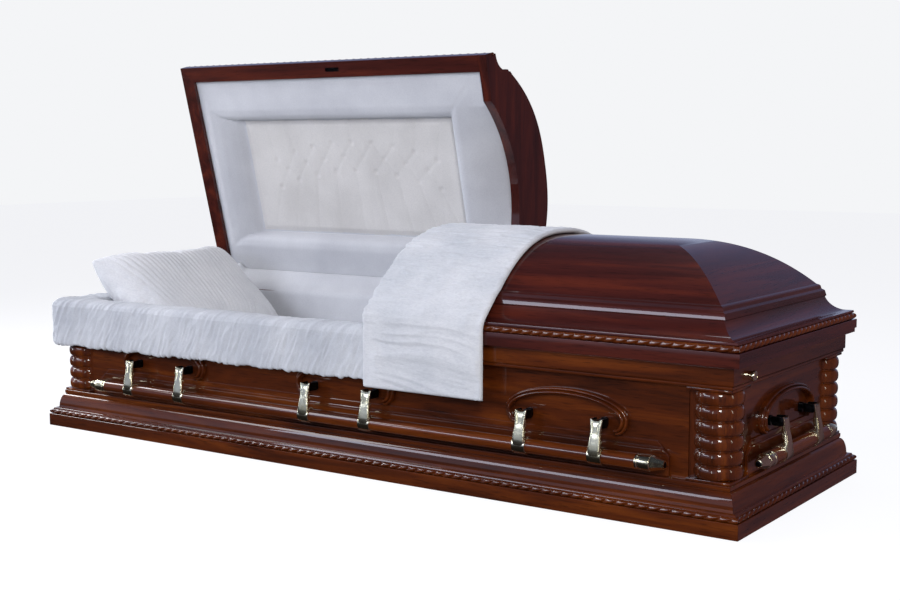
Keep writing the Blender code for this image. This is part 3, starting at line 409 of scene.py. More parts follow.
def wovenCloth(name, shade, tint, grainMm, depthMm, stretch, sheen):
    # pale polyester crepe: matt, slightly lighter at grazing angles, its crimp drawn coarser than the real
    # 0.5 mm yarn so that it shows
    made, tree, shader, place = startMaterial(name)
    scale = [1000 / grainMm / s for s in stretch]
    crimpPlace = addNode(tree, "ShaderNodeMapping", None, {"Vector": place, "Scale": scale}).outputs["Vector"]
    crimp = addNode(tree, "ShaderNodeTexNoise", None, {
        "Vector": crimpPlace, "Scale": 1.0, "Detail": 3.0, "Roughness": 0.6, "Distortion": 0.8})
    soft = addNode(tree, "ShaderNodeTexNoise", None, {"Vector": place, "Scale": 7.0, "Detail": 3.0})
    colour = addNode(tree, "ShaderNodeValToRGB", {"stops": [(0.30, shade), (0.62, tint)]}, {
        "Fac": soft.outputs["Fac"]})
    # the crimp's hollows are drawn darker in colour, following the same noise as the bump: painted shade
    crests = addNode(tree, "ShaderNodeValToRGB", {"stops": [(0.25, "#E2E2E6"), (0.60, "#FFFFFF")]}, {
        "Fac": crimp.outputs["Fac"]})
    mixed = addNode(tree, "ShaderNodeMix", {"data_type": "RGBA", "blend_type": "MULTIPLY"}, {
        "Factor": 0.6, 6: colour.outputs["Color"], 7: crests.outputs["Color"]})
    bump = addNode(tree, "ShaderNodeBump", None, {
        "Height": crimp.outputs["Fac"], "Strength": 0.55, "Distance": depthMm / 1000})
    plugIn(tree, shader, {
        "Base Color": mixed.outputs[2], "Normal": bump.outputs["Normal"], "Roughness": 0.88, "IOR": 1.46,
        "Sheen Weight": sheen, "Sheen Roughness": 0.45})
    return made


woodX, woodY, woodZ = (lacqueredMahogany(axis) for axis in "XYZ")
# the lids' wood: the same mahogany in darker colours, painted shade
shadedLidWoodX, shadedLidWoodY, shadedLidWoodZ = (lacqueredMahogany(axis, "lid") for axis in "XYZ")
brass = antiqueBrass()
steel = blackenedSteel()
shirredCrepe = wovenCloth("shirred crepe", "#BCC0C6", "#CED1D5", 3.4, 1.1, (1.0, 1.0, 1.0), 0.2)
throwCrepe = wovenCloth("shirred crepe, laid across", "#C4C8CD", "#D6D8DB", 3.4, 1.1, (3.0, 1.0, 1.0), 0.2)
pillowCrepe = wovenCloth("ruched pillow crepe", "#DCDEE0", "#E9EAEB", 3.0, 0.5, (3.0, 1.0, 1.0), 0.2)
rollVelvet = wovenCloth("brushed twill, padded", "#BDBFC4", "#C9CBCF", 2.4, 0.12, (1.0, 1.0, 1.0), 0.25)
panelCrepe = wovenCloth("tufted crepe panel", "#C9C7C4", "#D4D2CF", 2.6, 0.3, (1.0, 1.0, 1.0), 0.15)
grainOf = {"front": woodX, "back": woodX, "foot": woodY, "head": woodY}
print("finishes ready")


# Carved rope: a half-round strip cut with slanting lobes

rope = {"pitch": 0.0262, "slant": 1.05, "proud": 0.0074, "valley": 0.36, "step": 0.0026, "around": 10}


def ropeMesh(outer, bottom, height, depth, stations, ring=False):
    parts = []
    angles = np.linspace(0, math.pi, rope["around"])
    pairs = list(zip(stations, stations[1:])) + ([(stations[-1], stations[0])] if ring else [])
    for index, (first, second) in enumerate(pairs):
        length = (Vector(first(outer, 0)) - Vector(second(outer, 0))).length
        count = max(2, round(length / rope["step"]))
        rows = []
        for k in range(count + 1):
            t = k / count
            phase = t * round(length / rope["pitch"]) + rope["slant"] * angles / math.pi
            lobe = np.abs(np.sin(math.pi * phase)) ** 0.7
            size = rope["valley"] + (1 - rope["valley"]) * lobe
            out = rope["proud"] * size * np.sin(angles) ** 0.8
            high = bottom + height / 2 + (height / 2 - box["gap"]) * np.cos(angles) * (0.86 + 0.14 * lobe)
            inset = outer + depth - box["gap"] - out
            row = [Vector(first(d, z)).lerp(Vector(second(d, z)), t) for d, z in zip(inset, high)]
            back = outer + depth + 0.0005
            row += [Vector(first(back, z)).lerp(Vector(second(back, z)), t) for z in (high[-1], high[0])]
            rows.append(row)
        parts.append((gridMesh(np.array(rows), closeCols=True, caps=True), index % 2))
    return joinMeshes(parts)


# Plinth, floor, walls and rails

plinth = {
    "fascia": 0.033, "ropeHeight": 0.013, "ropeDepth": 0.0085, "ledge": 0.020, "lip": 0.004,
    "coveInset": 0.034, "edge": 0.0014,
}


def plinthProfile():
    grooveTop = plinth["fascia"] + plinth["ropeHeight"]
    coveFoot, coveTop = grooveTop + plinth["lip"], box["baseTop"] - 0.012
    low = [(0.0, 0.0), (0.0, plinth["fascia"]), (plinth["ropeDepth"], plinth["fascia"])]
    low += [(plinth["ropeDepth"], grooveTop), (plinth["ledge"] - 0.010, coveFoot)]
    low += [(plinth["ledge"] - 0.001, coveFoot)]
    cove = []
    for angle in arcAngles(14):
        cove.append((
            plinth["ledge"] + (plinth["coveInset"] - plinth["ledge"]) * (1 - math.cos(angle)),
            coveFoot + (coveTop - coveFoot) * math.sin(angle),
        ))
    top = [(plinth["coveInset"] + 0.0002, coveTop), (plinth["coveInset"] - 0.002, box["baseTop"] - 0.0085)]
    top += [(plinth["coveInset"] - 0.002, box["baseTop"])]
    top += [(box["wallInset"], box["baseTop"]), (box["wallInset"], 0.0)]
    return fillet(low, plinth["edge"]) + cove[1:] + fillet(top, plinth["edge"])


def sideMoulding(name, profile):
    for side in turns:
        half, reach = sideSizes(side)
        ends = [
            lambda d, z: (-(half - d) + box["gap"], -(reach - d), z),
            lambda d, z: ((half - d) - box["gap"], -(reach - d), z),
        ]
        mesh = turnedMesh(sweepMesh(profile, ends), side)
        addPiece(f"{name}_{side}_dressed", mesh, [grainOf[side]], "casket", [f"{name}_{side}"])


sideMoulding("plinth_moulding", plinthProfile())
mesh = ropeMesh(0.0, plinth["fascia"], plinth["ropeHeight"], plinth["ropeDepth"], cornerStations(), ring=True)
addPiece("plinth_rope_carved", mesh, [woodX, woodY], "casket", ["plinth_rope"], sharp=48)

rail = {"bead": 0.0085, "beadInset": 0.031, "edge": 0.003}
railProfile = [
    (rail["beadInset"], box["railFoot"] - rail["bead"] + 0.002),
    (rail["beadInset"], box["railFoot"] - 0.002),
    (rail["beadInset"] + 0.0015, box["railFoot"] - 0.0008), (box["railInset"] + 0.0012, box["railFoot"]),
    (box["railInset"], box["railFoot"] + rail["edge"]), (box["railInset"], box["railTop"] - rail["edge"]),
    (box["railInset"] + rail["edge"], box["railTop"]),
    (box["railInset"] + box["railWidth"], box["railTop"]),
    (box["railInset"] + box["railWidth"], box["railFoot"]),
    (box["panelInset"] - box["gap"], box["railFoot"]),
    (box["panelInset"] - box["gap"], box["railFoot"] - rail["bead"]),
    (rail["beadInset"] + 0.002, box["railFoot"] - rail["bead"]),
]
sideMoulding("top_rail", fillet(railProfile, 0.0016, closed=True))
for side in turns:
    refinish(f"side_panel_{side}", grainOf[side])
refinish("bottom_board", woodX)
print("plinth, walls and rails")


# Turned corner columns

column = {
    "inset": 0.080, "radius": 0.052, "valley": 0.0080, "rings": 6, "fillet": 0.0030,
    "plateInset": 0.034, "plate": 0.006, "postEnd": 0.134, "sides": 72,
}


def columnProfile(low, high):
    pitch = (high - low) / column["rings"]
    valley = column["radius"] - column["valley"]
    points = [(valley, low)]
    for ring in range(column["rings"]):
        foot = low + ring * pitch + column["fillet"] / 2
        head = low + (ring + 1) * pitch - column["fillet"] / 2
        for angle in arcAngles(20, math.pi):
            points.append((
                valley + column["valley"] * math.sin(angle) ** 0.80,
                (foot + head) / 2 - (head - foot) / 2 * math.cos(angle),
            ))
    return points + [(valley, high)]


def cornerColumn():
    foot, head = box["panelFoot"], box["railFoot"] - rail["bead"] - box["gap"]
    rings = columnProfile(foot + column["plate"] - 0.001, head - column["plate"] + 0.001)
    inner = column["inset"] - column["postEnd"]
    plate = column["inset"] - column["plateInset"]
    post = column["inset"] - box["panelInset"] - 0.0015
    wall = column["inset"] - box["wallInset"]
    solids = [
        lathed(rings, column["sides"]),
        boxMesh((inner, inner, foot), (post, post, box["railFoot"] - box["gap"]), 0.0008),
        boxMesh((inner, inner, foot), (plate, plate, foot + column["plate"]), 0.0012),
        boxMesh((inner, inner, head - column["plate"]), (plate, plate, head), 0.0012),
    ]
    pieces = []
    for index, solid in enumerate(solids + [boxMesh((-0.2, -0.2, 0), (wall, wall, 0.4))]):
        mesh = meshFrom(solid)
        pieces.append(bpy.data.objects.new(f"turning{index}", mesh))
        bpy.context.scene.collection.objects.link(pieces[-1])
    steps = [("BOOLEAN", {"operation": "UNION", "object": other, "solver": "EXACT"}) for other in pieces[1:4]]
    steps.append(("BOOLEAN", {"operation": "DIFFERENCE", "object": pieces[4], "solver": "EXACT"}))
    turned = applied(pieces[0], *steps).data
    for piece in pieces:
        bpy.data.objects.remove(piece)
    return turned


turning = cornerColumn()
x, y = box["halfLength"] - column["inset"], box["halfWidth"] - column["inset"]
for corner, (px, py, turn) in {
    "foot_back": (x, y, 0), "head_back": (-x, y, 90), "head_front": (-x, -y, 180), "foot_front": (x, -y, 270),
}.items():
    mesh = turning.copy()
    mesh.transform(Matrix.Translation((px, py, 0)) @ Matrix.Rotation(math.radians(turn), 4, "Z"))
    name = f"corner_column_{corner}"
    addPiece(f"{name}_turned", mesh, [woodZ], "casket", [name], sharp=34)
print("corner columns")


# Arch mouldings, backing boards and lugs

arch = {
    "halfWidth": 0.1455, "rise": 0.051, "drop": 0.026, "curl": 0.0205, "strip": 0.015, "proud": 0.019,
    "edge": 0.45,
    # the finer inner bead and the bold outer one: middle and half width in halves of the strip's width, foot
    # and rise in shares of its height, and the number of steps
    "beads": ((-0.52, 0.44, 0.50, 0.22, 5), (0.46, 0.52, 0.62, 0.38, 7)),
}
board = {
    "endInset": 0.175, "shortExtra": 0.030, "height": 0.060, "thickness": 0.008, "chamfer": 0.016,
    "step": 0.0130, "stepThickness": 0.004, "stepInset": 0.012, "stepFoot": 0.010,
}
longArms = [centre + side * 0.095 for centre in (-0.625, 0.0, 0.625) for side in (-1, 1)]
shortArms = (-0.095, 0.095)
pivot = {"inset": 0.027, "height": 0.203}
lug = {
    "rise": 0.008, "fall": 0.014, "halfWidth": 0.0078, "corner": 0.0055, "tongue": 0.0056,
    "halfTongue": 0.0068, "proud": 0.001, "root": 0.004, "bevel": 0.0008,
}


def archMesh(centre, reach):
    half, proud = arch["strip"] / 2, arch["proud"]
    widest = box["panelFoot"] + board["height"] + board["step"] + 2 * box["gap"] + arch["drop"] + half
    right = []
    for angle in arcAngles(8):
        along = arch["halfWidth"] - arch["curl"] * (1 - math.sin(angle))
        right.append((along, widest - arch["drop"] * math.cos(angle)))
    for angle in arcAngles(24, first=1):
        right.append((arch["halfWidth"] * math.cos(angle), widest + arch["rise"] * math.sin(angle)))
    path = np.array(right + [(-a, z) for a, z in reversed(right[:-1])])
    profile = [(-half, box["gap"]), (-half, proud * arch["edge"])]
    for middle, wide, foot, rise, steps in arch["beads"]:
        for angle in arcAngles(steps, math.pi):
            along = half * (middle - wide * math.cos(angle))
            profile.append((along, proud * (foot + rise * math.sin(angle))))
    profile += [(half, proud * arch["edge"]), (half, box["gap"])]
    face = -(reach - box["panelInset"])
    rows = []
    for (a, z), (outA, outZ) in zip(path, pathNormals(path)):
        rows.append([(centre + a + outA * w, face - out, z + outZ * w) for w, out in profile])
    return meshFrom(gridMesh(np.array(rows), closeCols=True, caps=True))


def chamfered(half, low, high):
    cut = board["chamfer"]
    right = [(half, low), (half, high - cut), (half - cut, high)]
    return [(-half, low)] + right + [(-half + cut, high), (-half, high - cut)]


def lugMesh(x, face, reach):
    # a plate with a rounded top and the tongue that the arm hangs on
    z, wide, radius = pivot["height"], lug["halfWidth"], lug["tongue"]
    low, high = z - lug["fall"], z + lug["rise"]
    corners = [(x + wide, low), (x + wide, high), (x - wide, high), (x - wide, low)]
    plate = fillet(corners, lug["corner"], closed=True, steps=5)
    parts = [(slabMesh(plate, face - board["thickness"] - lug["proud"], face, "Y", lug["bevel"]), 0)]
    pivotY = -(reach - pivot["inset"])
    tongue = [(face - lug["root"], z - radius)]
    for k in range(13):
        angle = math.radians(-90 - 15 * k)
        tongue.append((pivotY + radius * math.cos(angle), z + radius * math.sin(angle)))
    tongue.append((face - lug["root"], z + radius))
    parts.append((slabMesh(tongue, x - lug["halfTongue"], x + lug["halfTongue"], "X", lug["bevel"]), 0))
    return parts


for side in turns:
    long = side in ("front", "back")
    extent, reach = sideSizes(side)
    half = extent - board["endInset"] + (0 if long else board["shortExtra"])
    face = -(reach - box["panelInset"]) - box["gap"]
    foot, top = box["panelFoot"], box["panelFoot"] + board["height"]
    batten = slabMesh(chamfered(half, foot, top), face - board["thickness"], face, "Y", 0.0016)
    stepOutline = chamfered(half - board["stepInset"], foot + board["stepFoot"], top + board["step"])
    step = slabMesh(stepOutline, face - board["stepThickness"], face, "Y", 0.0012)
    mesh = turnedMesh(joinMeshes([(batten, 0), (step, 0)]), side)
    name = f"handle_board_{side}"
    addPiece(f"{name}_shaped", mesh, [grainOf[side]], "casket", [name])
    lugs = [part for arm in (longArms if long else shortArms) for part in lugMesh(arm, face, reach)]
    mesh = turnedMesh(joinMeshes(lugs), side)
    addPiece(f"handle_lugs_{side}", mesh, [steel], "casket", [name])
    places = {"left": -0.625, "middle": 0.0, "right": 0.625} if long else {"middle": 0.0}
    for word, centre in places.items():
        mesh = turnedMesh(archMesh(centre, reach), side)
        name = f"arch_{side}_{word}"
        addPiece(f"{name}_beaded", mesh, [grainOf[side]], "casket", [name], sharp=44)
print("boards, lugs and arches")


# Swing-bar handles: wooden bar, faceted metal tips and fluted arms

handle = {
    "forward": 0.013, "drop": 0.071, "barRadius": 0.0165, "tipRadius": 0.0175, "sleeve": 0.034, "nose": 0.030,
    "noseRadius": 0.0095, "longEndInset": 0.170, "shortEndInset": 0.134, "sleeveRadius": 0.0195,
    "fluteDepth": 0.0013, "fluteWidth": 0.30, "armSteps": 34, "armAround": 40, "halfRing": 0.0170,
    "ringBore": 0.0167, "cheek": (0.0120, 0.0150),
}


def armMesh(x):
    # sections from the hooked foot up to the notched head: (height, front, back, half width)
    drop, forward, sleeve = handle["drop"], handle["forward"], handle["sleeveRadius"]
    keys = np.array([
        (-drop - 0.012, forward + sleeve * 0.80, forward - 0.002, 0.0160),
        (-drop, forward + sleeve + 0.0002, forward, 0.0170),
        (-drop + 0.014, forward + sleeve - 0.0004, forward + 0.002, 0.0165),
        (-0.63 * drop, forward + sleeve - 0.0018, forward + 0.006, 0.0150),
        (-0.45 * drop, 0.0285, 0.0120, 0.0134),
        (-0.28 * drop, 0.0255, 0.0145, 0.0126),
        (-0.05 * drop, 0.0228, 0.0155, 0.0140),
        (0.009, 0.0200, 0.0150, 0.0151),
    ])
    heights = np.linspace(keys[0, 0], keys[-1, 0], handle["armSteps"])
    front, back, wide = (np.interp(heights, keys[:, 0], keys[:, i]) for i in (1, 2, 3))
    for values in (front, back, wide):    # eases the straight runs between the keys
        for _ in range(2):
            values[1:-1] = (values[:-2] + 2 * values[1:-1] + values[2:]) / 4
    angles = math.tau * np.arange(handle["armAround"]) / handle["armAround"]
    cos, sin = np.cos(angles), np.sin(angles)
    across = np.sign(cos) * np.abs(cos) ** 0.42
    deep = np.sign(sin) * np.abs(sin) ** 0.55
    rows = []
    span = heights[-1] - heights[0]
    for z, f, b, w in zip(heights, front, back, wide):
        fade = min(1.0, max(0.0, (z - heights[0]) / span * 5 - 1.4))
        fade *= min(1.0, max(0.0, (heights[-1] - z) / 0.006))
        flute = sum(np.exp(-((across - c) / handle["fluteWidth"]) ** 2 * 2.2) for c in (-0.42, 0.42))
        depth = f * (1 + deep) / 2 + b * (1 - deep) / 2
        depth = depth - handle["fluteDepth"] * flute * fade * (deep > 0) * np.abs(deep)
        notch = 0.0050 * np.exp(-((across / 0.62) ** 4)) * max(0.0, 1 - (heights[-1] - z) / 0.016)
        rows.append(np.stack([x + w * across, -depth, np.full_like(across, z) - notch], axis=1))
    parts = [(gridMesh(np.array(rows), closeCols=True, caps=True), 1)]
    half, bore = handle["halfRing"], handle["ringBore"]
    ringProfile = fillet([(bore, x - half), (sleeve, x - half), (sleeve, x + half), (bore, x + half)], 0.003)
    ring = lathed(ringProfile, 40, axis="X")
    bmesh.ops.translate(ring, verts=ring.verts, vec=(0, -forward, -drop))
    parts.append((ring, 1))
    outline = [(-0.019, -0.011), (0.0075, -0.011), (0.0075, 0.009), (-0.019, 0.009)]
    outline = fillet(outline, 0.005, closed=True)
    for side in (-1, 1):    # cheeks that pass beside the lug
        low, high = sorted(x + side * edge for edge in handle["cheek"])
        parts.append((slabMesh(outline, low, high, "X", 0.0006), 2))
    return parts


def handleMesh(half, arms):
    nose, sleeve = half - handle["nose"], half - handle["nose"] - handle["sleeve"]
    wooden = lathed([(handle["barRadius"], -sleeve), (handle["barRadius"], sleeve)], 48, axis="X")
    bmesh.ops.translate(wooden, verts=wooden.verts, vec=(0, -handle["forward"], -handle["drop"]))
    parts = [(wooden, 0)]
    tip, end = handle["tipRadius"], handle["noseRadius"]
    collar = fillet([
        (0.0160, sleeve - 0.0005), (tip, sleeve - 0.0005), (tip, sleeve + 0.004),
        (tip - 0.0012, sleeve + 0.0052), (tip - 0.0012, sleeve + 0.008), (tip, sleeve + 0.0092),
        (tip, nose - 0.001), (0.0155, nose),
    ], 0.0012)
    cone = [(0.0168, nose - 0.004), (0.0168, nose + 0.002), (tip * 0.80, nose + handle["nose"] * 0.36)]
    cone += [(end * 1.12, half - handle["nose"] * 0.2), (end, half - 0.0008), (end * 0.8, half)]
    plug = [(0.0062, half - 0.003), (0.0062, half + 0.0004), (0.004, half + 0.0008)]
    for sign in (-1, 1):
        for profile, sides, index in ((collar, 48, 1), (cone, 8, 1), (plug, 24, 2)):
            solid = lathed([(r, sign * s) for r, s in profile], sides, axis="X")
            bmesh.ops.translate(solid, verts=solid.verts, vec=(0, -handle["forward"], -handle["drop"]))
            parts.append((solid, index))
    for arm in arms:
        parts += armMesh(arm)
    return joinMeshes(parts)


for side in turns:
    long = side in ("front", "back")
    extent, reach = sideSizes(side)
    end = extent - handle["longEndInset" if long else "shortEndInset"]
    mesh = handleMesh(end, longArms if long else shortArms)
    mesh.transform(Matrix.Translation((0, -(reach - pivot["inset"]), pivot["height"])))
    addPiece(
        f"handle_{side}_cast", turnedMesh(mesh, side), [grainOf[side], brass, steel], f"swing_bar_{side}",
        [f"handle_{side}"], sharp=28)
print("handles")


# Lids

lid = {
    "inset": 0.0085, "fascia": 0.030, "ropeHeight": 0.015, "ropeDepth": 0.0085, "coveInset": 0.020,
    "coveRun": 0.051, "coveRise": 0.053, "stepRun": 0.013, "stepRise": 0.013, "domeRise": 0.114,
    "domePower": 2.5, "frameWidth": 0.045, "frameHeight": 0.036, "wall": 0.013, "header": 0.026,
    "archHalf": 0.232, "archRise": 0.077, "archPower": 2.1, "edge": 0.0014, "domeSteps": 44,
}
lid["coveFoot"] = lid["fascia"] + lid["ropeHeight"] + 0.006
lid["domeInset"] = lid["coveInset"] + lid["coveRun"] + lid["stepRun"]
lid["domeFoot"] = lid["coveFoot"] + lid["coveRise"] + lid["stepRise"]
lid["cavity"] = lid["inset"] + lid["frameWidth"]


def domePoints(foot, low, steps):
    half = box["halfWidth"] - foot
    points = []
    for k in range(steps + 1):
        run = half * (1 - math.cos(math.pi / 2 * k / steps) ** 1.15)
        rise = lid["domeRise"] * (1 - max(0.0, 1 - run / half) ** lid["domePower"])
        points.append((foot + run, low + rise))
    return points


def lidOutside():
    groove = lid["inset"] + lid["ropeDepth"]
    ropeTop = lid["fascia"] + lid["ropeHeight"]
    low = [(lid["inset"], 0.0), (lid["inset"], lid["fascia"]), (groove, lid["fascia"]), (groove, ropeTop)]
    low += [(lid["coveInset"] - 0.006, ropeTop + 0.001), (lid["coveInset"] - 0.005, lid["coveFoot"])]
    cove = []
    for angle in arcAngles(18):
        cove.append((
            lid["coveInset"] + lid["coveRun"] * math.sin(angle),
            lid["coveFoot"] + lid["coveRise"] * (1 - math.cos(angle)),
        ))
    # over the cove a sloping band, a small hollow and a bead, which catch the light as two bright lines
    cove = [point for point in cove if point[1] < 0.0865]
    foot, dome = lid["domeFoot"], lid["domeInset"]
    steps = [cove[-1], (0.0652, 0.0885), (0.0684, 0.1010), (0.0700, 0.1020), (0.0716, 0.1036)]
    steps += [(0.0732, 0.1040), (dome - 0.0094, foot - 0.0118), (dome - 0.0076, foot - 0.0044)]
    steps.append((dome - 0.0050, foot - 0.0020))
    steps = fillet(steps + [(dome, foot)], 0.0010)
    return fillet(low, lid["edge"]) + cove[:-1] + steps + domePoints(dome, foot, lid["domeSteps"])[1:]


def lidInside():
    points = [(lid["cavity"], 0.0), (lid["cavity"], lid["frameHeight"])]
    points.append((lid["domeInset"] + 0.003, lid["domeFoot"] - lid["stepRise"] - lid["wall"] - 0.008))
    return points + domePoints(lid["domeInset"] + lid["wall"], lid["domeFoot"] - lid["wall"], 14)


def notchRebate(mesh):
    # the rebate along the back edge, where the hinge lies
    piece = bpy.data.objects.new("lid blank", mesh)
    y = box["halfWidth"]
    low = (-2, y - lid["inset"] - 0.0125, box["lidFoot"] - 0.01)
    cutter = bpy.data.objects.new("rebate plane", meshFrom(boxMesh(low, (2, y, box["lidFoot"] + 0.009))))
    for thing in (piece, cutter):
        bpy.context.scene.collection.objects.link(thing)
    cut = applied(piece, ("BOOLEAN", {"operation": "DIFFERENCE", "object": cutter, "solver": "EXACT"})).data
    bpy.data.objects.remove(piece)
    bpy.data.objects.remove(cutter)
    return cut


def buildLid(name, split, sign):
    stations = cornerStations(split + sign * (lid["header"] + box["gap"]), sign)
    chain = [(d, box["lidFoot"] + v) for d, v in reversed(lidInside())]
    chain += [(d, box["lidFoot"] + v) for d, v in lidOutside()]
    shell = notchRebate(sweepMesh(chain, stations, closed=False, slots=(0, 1, 0), capEnds=False))
    outline = [(-(box["halfWidth"] - d), box["lidFoot"] + v) for d, v in lidOutside()]
    outline += [(-y, z) for y, z in reversed(outline[:-1])]
    corners = []
    steps = 64
    for k in range(steps + 1):
        y = lid["archHalf"] * math.cos(math.pi * k / steps)
        rise = lid["archRise"] * (1 - abs(y / lid["archHalf"]) ** lid["archPower"])
        corners.append((y, box["lidFoot"] + rise))
    low, high = sorted((split, split + sign * lid["header"]))
    header = notchRebate(meshFrom(slabMesh(outline + corners, low, high, "X", 0.0012)))
    bead = ropeMesh(
        lid["inset"], box["lidFoot"] + lid["fascia"], lid["ropeHeight"], lid["ropeDepth"],
        cornerStations(split, sign))
    # the lid's pieces take the darker mahogany: painted shade
    upright = shadedLidWoodY
    if name == "head_lid":
        upright = shadedLidWoodZ
        for mesh in (shell, header, bead):
            openedMesh(mesh)
    addPiece(f"{name}_shell_polished", shell, [shadedLidWoodX, shadedLidWoodY], name, [f"{name}_shell"])
    addPiece(f"{name}_end_board_polished", header, [upright], name, [f"{name}_end_board"])
    addPiece(f"{name}_rope_carved", bead, [woodX, woodY], name, [f"{name}_rope"], sharp=48)


buildLid("head_lid", box["splitX"], -1)
buildLid("foot_lid", box["footSplitX"], 1)
print("lids")

# CAD pieces that keep their form and get a finish
for name in [f"{end}_lid_hinge_{part}_leaf" for end in ("head", "foot") for part in ("body", "lid")]:
    refinish(name, brass)
for name in ("head_lid_catch", "foot_lid_latch"):
    refinish(name, steel)


# Round cover of the locking key's hole, on the foot end of the rail

knob = {
    "radius": 0.0114, "proud": 0.0148, "body": 0.0098, "seat": 0.0075, "step": 0.0014, "insetY": 0.109,
    "drop": 0.027,
}


def knobMesh():
    outline = [(knob["body"], box["gap"]), (knob["body"], knob["seat"])]
    foot = knob["seat"] + knob["step"]
    for angle in arcAngles(8):
        along = foot + (knob["proud"] - foot) * math.sin(angle)
        outline.append((knob["radius"] * (0.68 + 0.32 * math.cos(angle)), along))
    outline.append((knob["radius"] * 0.60, knob["proud"] - 0.0008))
    outline.append((knob["radius"] * 0.1, knob["proud"] - 0.0006))
    mesh = meshFrom(lathed(outline, 40, axis="X"))
    face = box["halfLength"] - box["railInset"]
    place = (face, knob["insetY"] - box["halfWidth"], box["railTop"] - knob["drop"])
    mesh.transform(Matrix.Translation(place))
    return mesh


addPiece("key_cover_turned", knobMesh(), [brass], "casket", ["key_cover"], sharp=30)


# Cloth tools

def levelGrid(x, y, z):
    # points over a column of x and a row of y
    return np.stack([x + 0 * y, y + 0 * x, z + 0 * x], axis=-1)


def rimDistance(x, y):
    # how far each point of a grid lies from its rim
    along, across = np.minimum(x - x[0], x[-1] - x), np.minimum(y - y[:, :1], y[:, -1:] - y)
    return np.minimum(along + 0 * y, across + 0 * x)


def clothMesh(top, low, weld=0.00004):
    # two faces of a cloth grid, joined round the rim
    rows, cols = top.shape[:2]
    index = np.arange(rows * cols).reshape(rows, cols)
    a, b, c, d = (part.ravel() for part in (index[:-1, :-1], index[:-1, 1:], index[1:, 1:], index[1:, :-1]))
    below = rows * cols
    faces = np.concatenate([np.stack([a, b, c, d], 1), np.stack([d, c, b, a], 1) + below])
    rim = np.concatenate([index[0, :-1], index[:-1, -1], index[-1, :0:-1], index[:0:-1, 0]])
    after = np.roll(rim, -1)
    faces = np.concatenate([faces, np.stack([after, rim, rim + below, after + below], 1)])
    mesh = bpy.data.meshes.new("cloth")
    mesh.from_pydata(np.concatenate([top.reshape(-1, 3), low.reshape(-1, 3)]).tolist(), [], faces.tolist())
    bm = bmesh.new()
    bm.from_mesh(mesh)
    return meshFrom(bm, weld)


def gridNormals(points):
    across = np.cross(np.gradient(points, axis=0), np.gradient(points, axis=1))
    return across / np.maximum(np.linalg.norm(across, axis=2, keepdims=True), 1e-12)


def roundedEdge(distance, radius):
    # half thickness of a rounded hem, from 0 at the edge to 1
    return np.sqrt(np.clip(1 - (1 - np.clip(distance / radius, 0, 1)) ** 2, 0, 1))


def easedStep(value):
    value = np.clip(value, 0, 1)
    return value * value * (3 - 2 * value)


def resampled(path, step):
    path = np.array(path, float)
    run = np.concatenate([[0], np.cumsum(np.linalg.norm(np.diff(path, axis=0), axis=1))])
    at = np.linspace(0, run[-1], round(run[-1] / step) + 1)
    return np.stack([np.interp(at, run, path[:, i]) for i in range(path.shape[1])], 1), at


def softened(path, passes):
    path = path.copy()
    for _ in range(passes):
        path[1:-1] = (path[:-2] + 2 * path[1:-1] + path[2:]) / 4
    return path


# Throw: a folded crepe cloth laid over the head end of the foot lid

drape = {
    "left": 0.0947, "right": 0.4345, "drop": 0.127, "lift": 0.0018, "thickness": 0.0118,
    "lapThickness": 0.0072, "bend": 0.009, "step": 0.0028, "columns": 66, "flat": (0.36, 0.98),
}


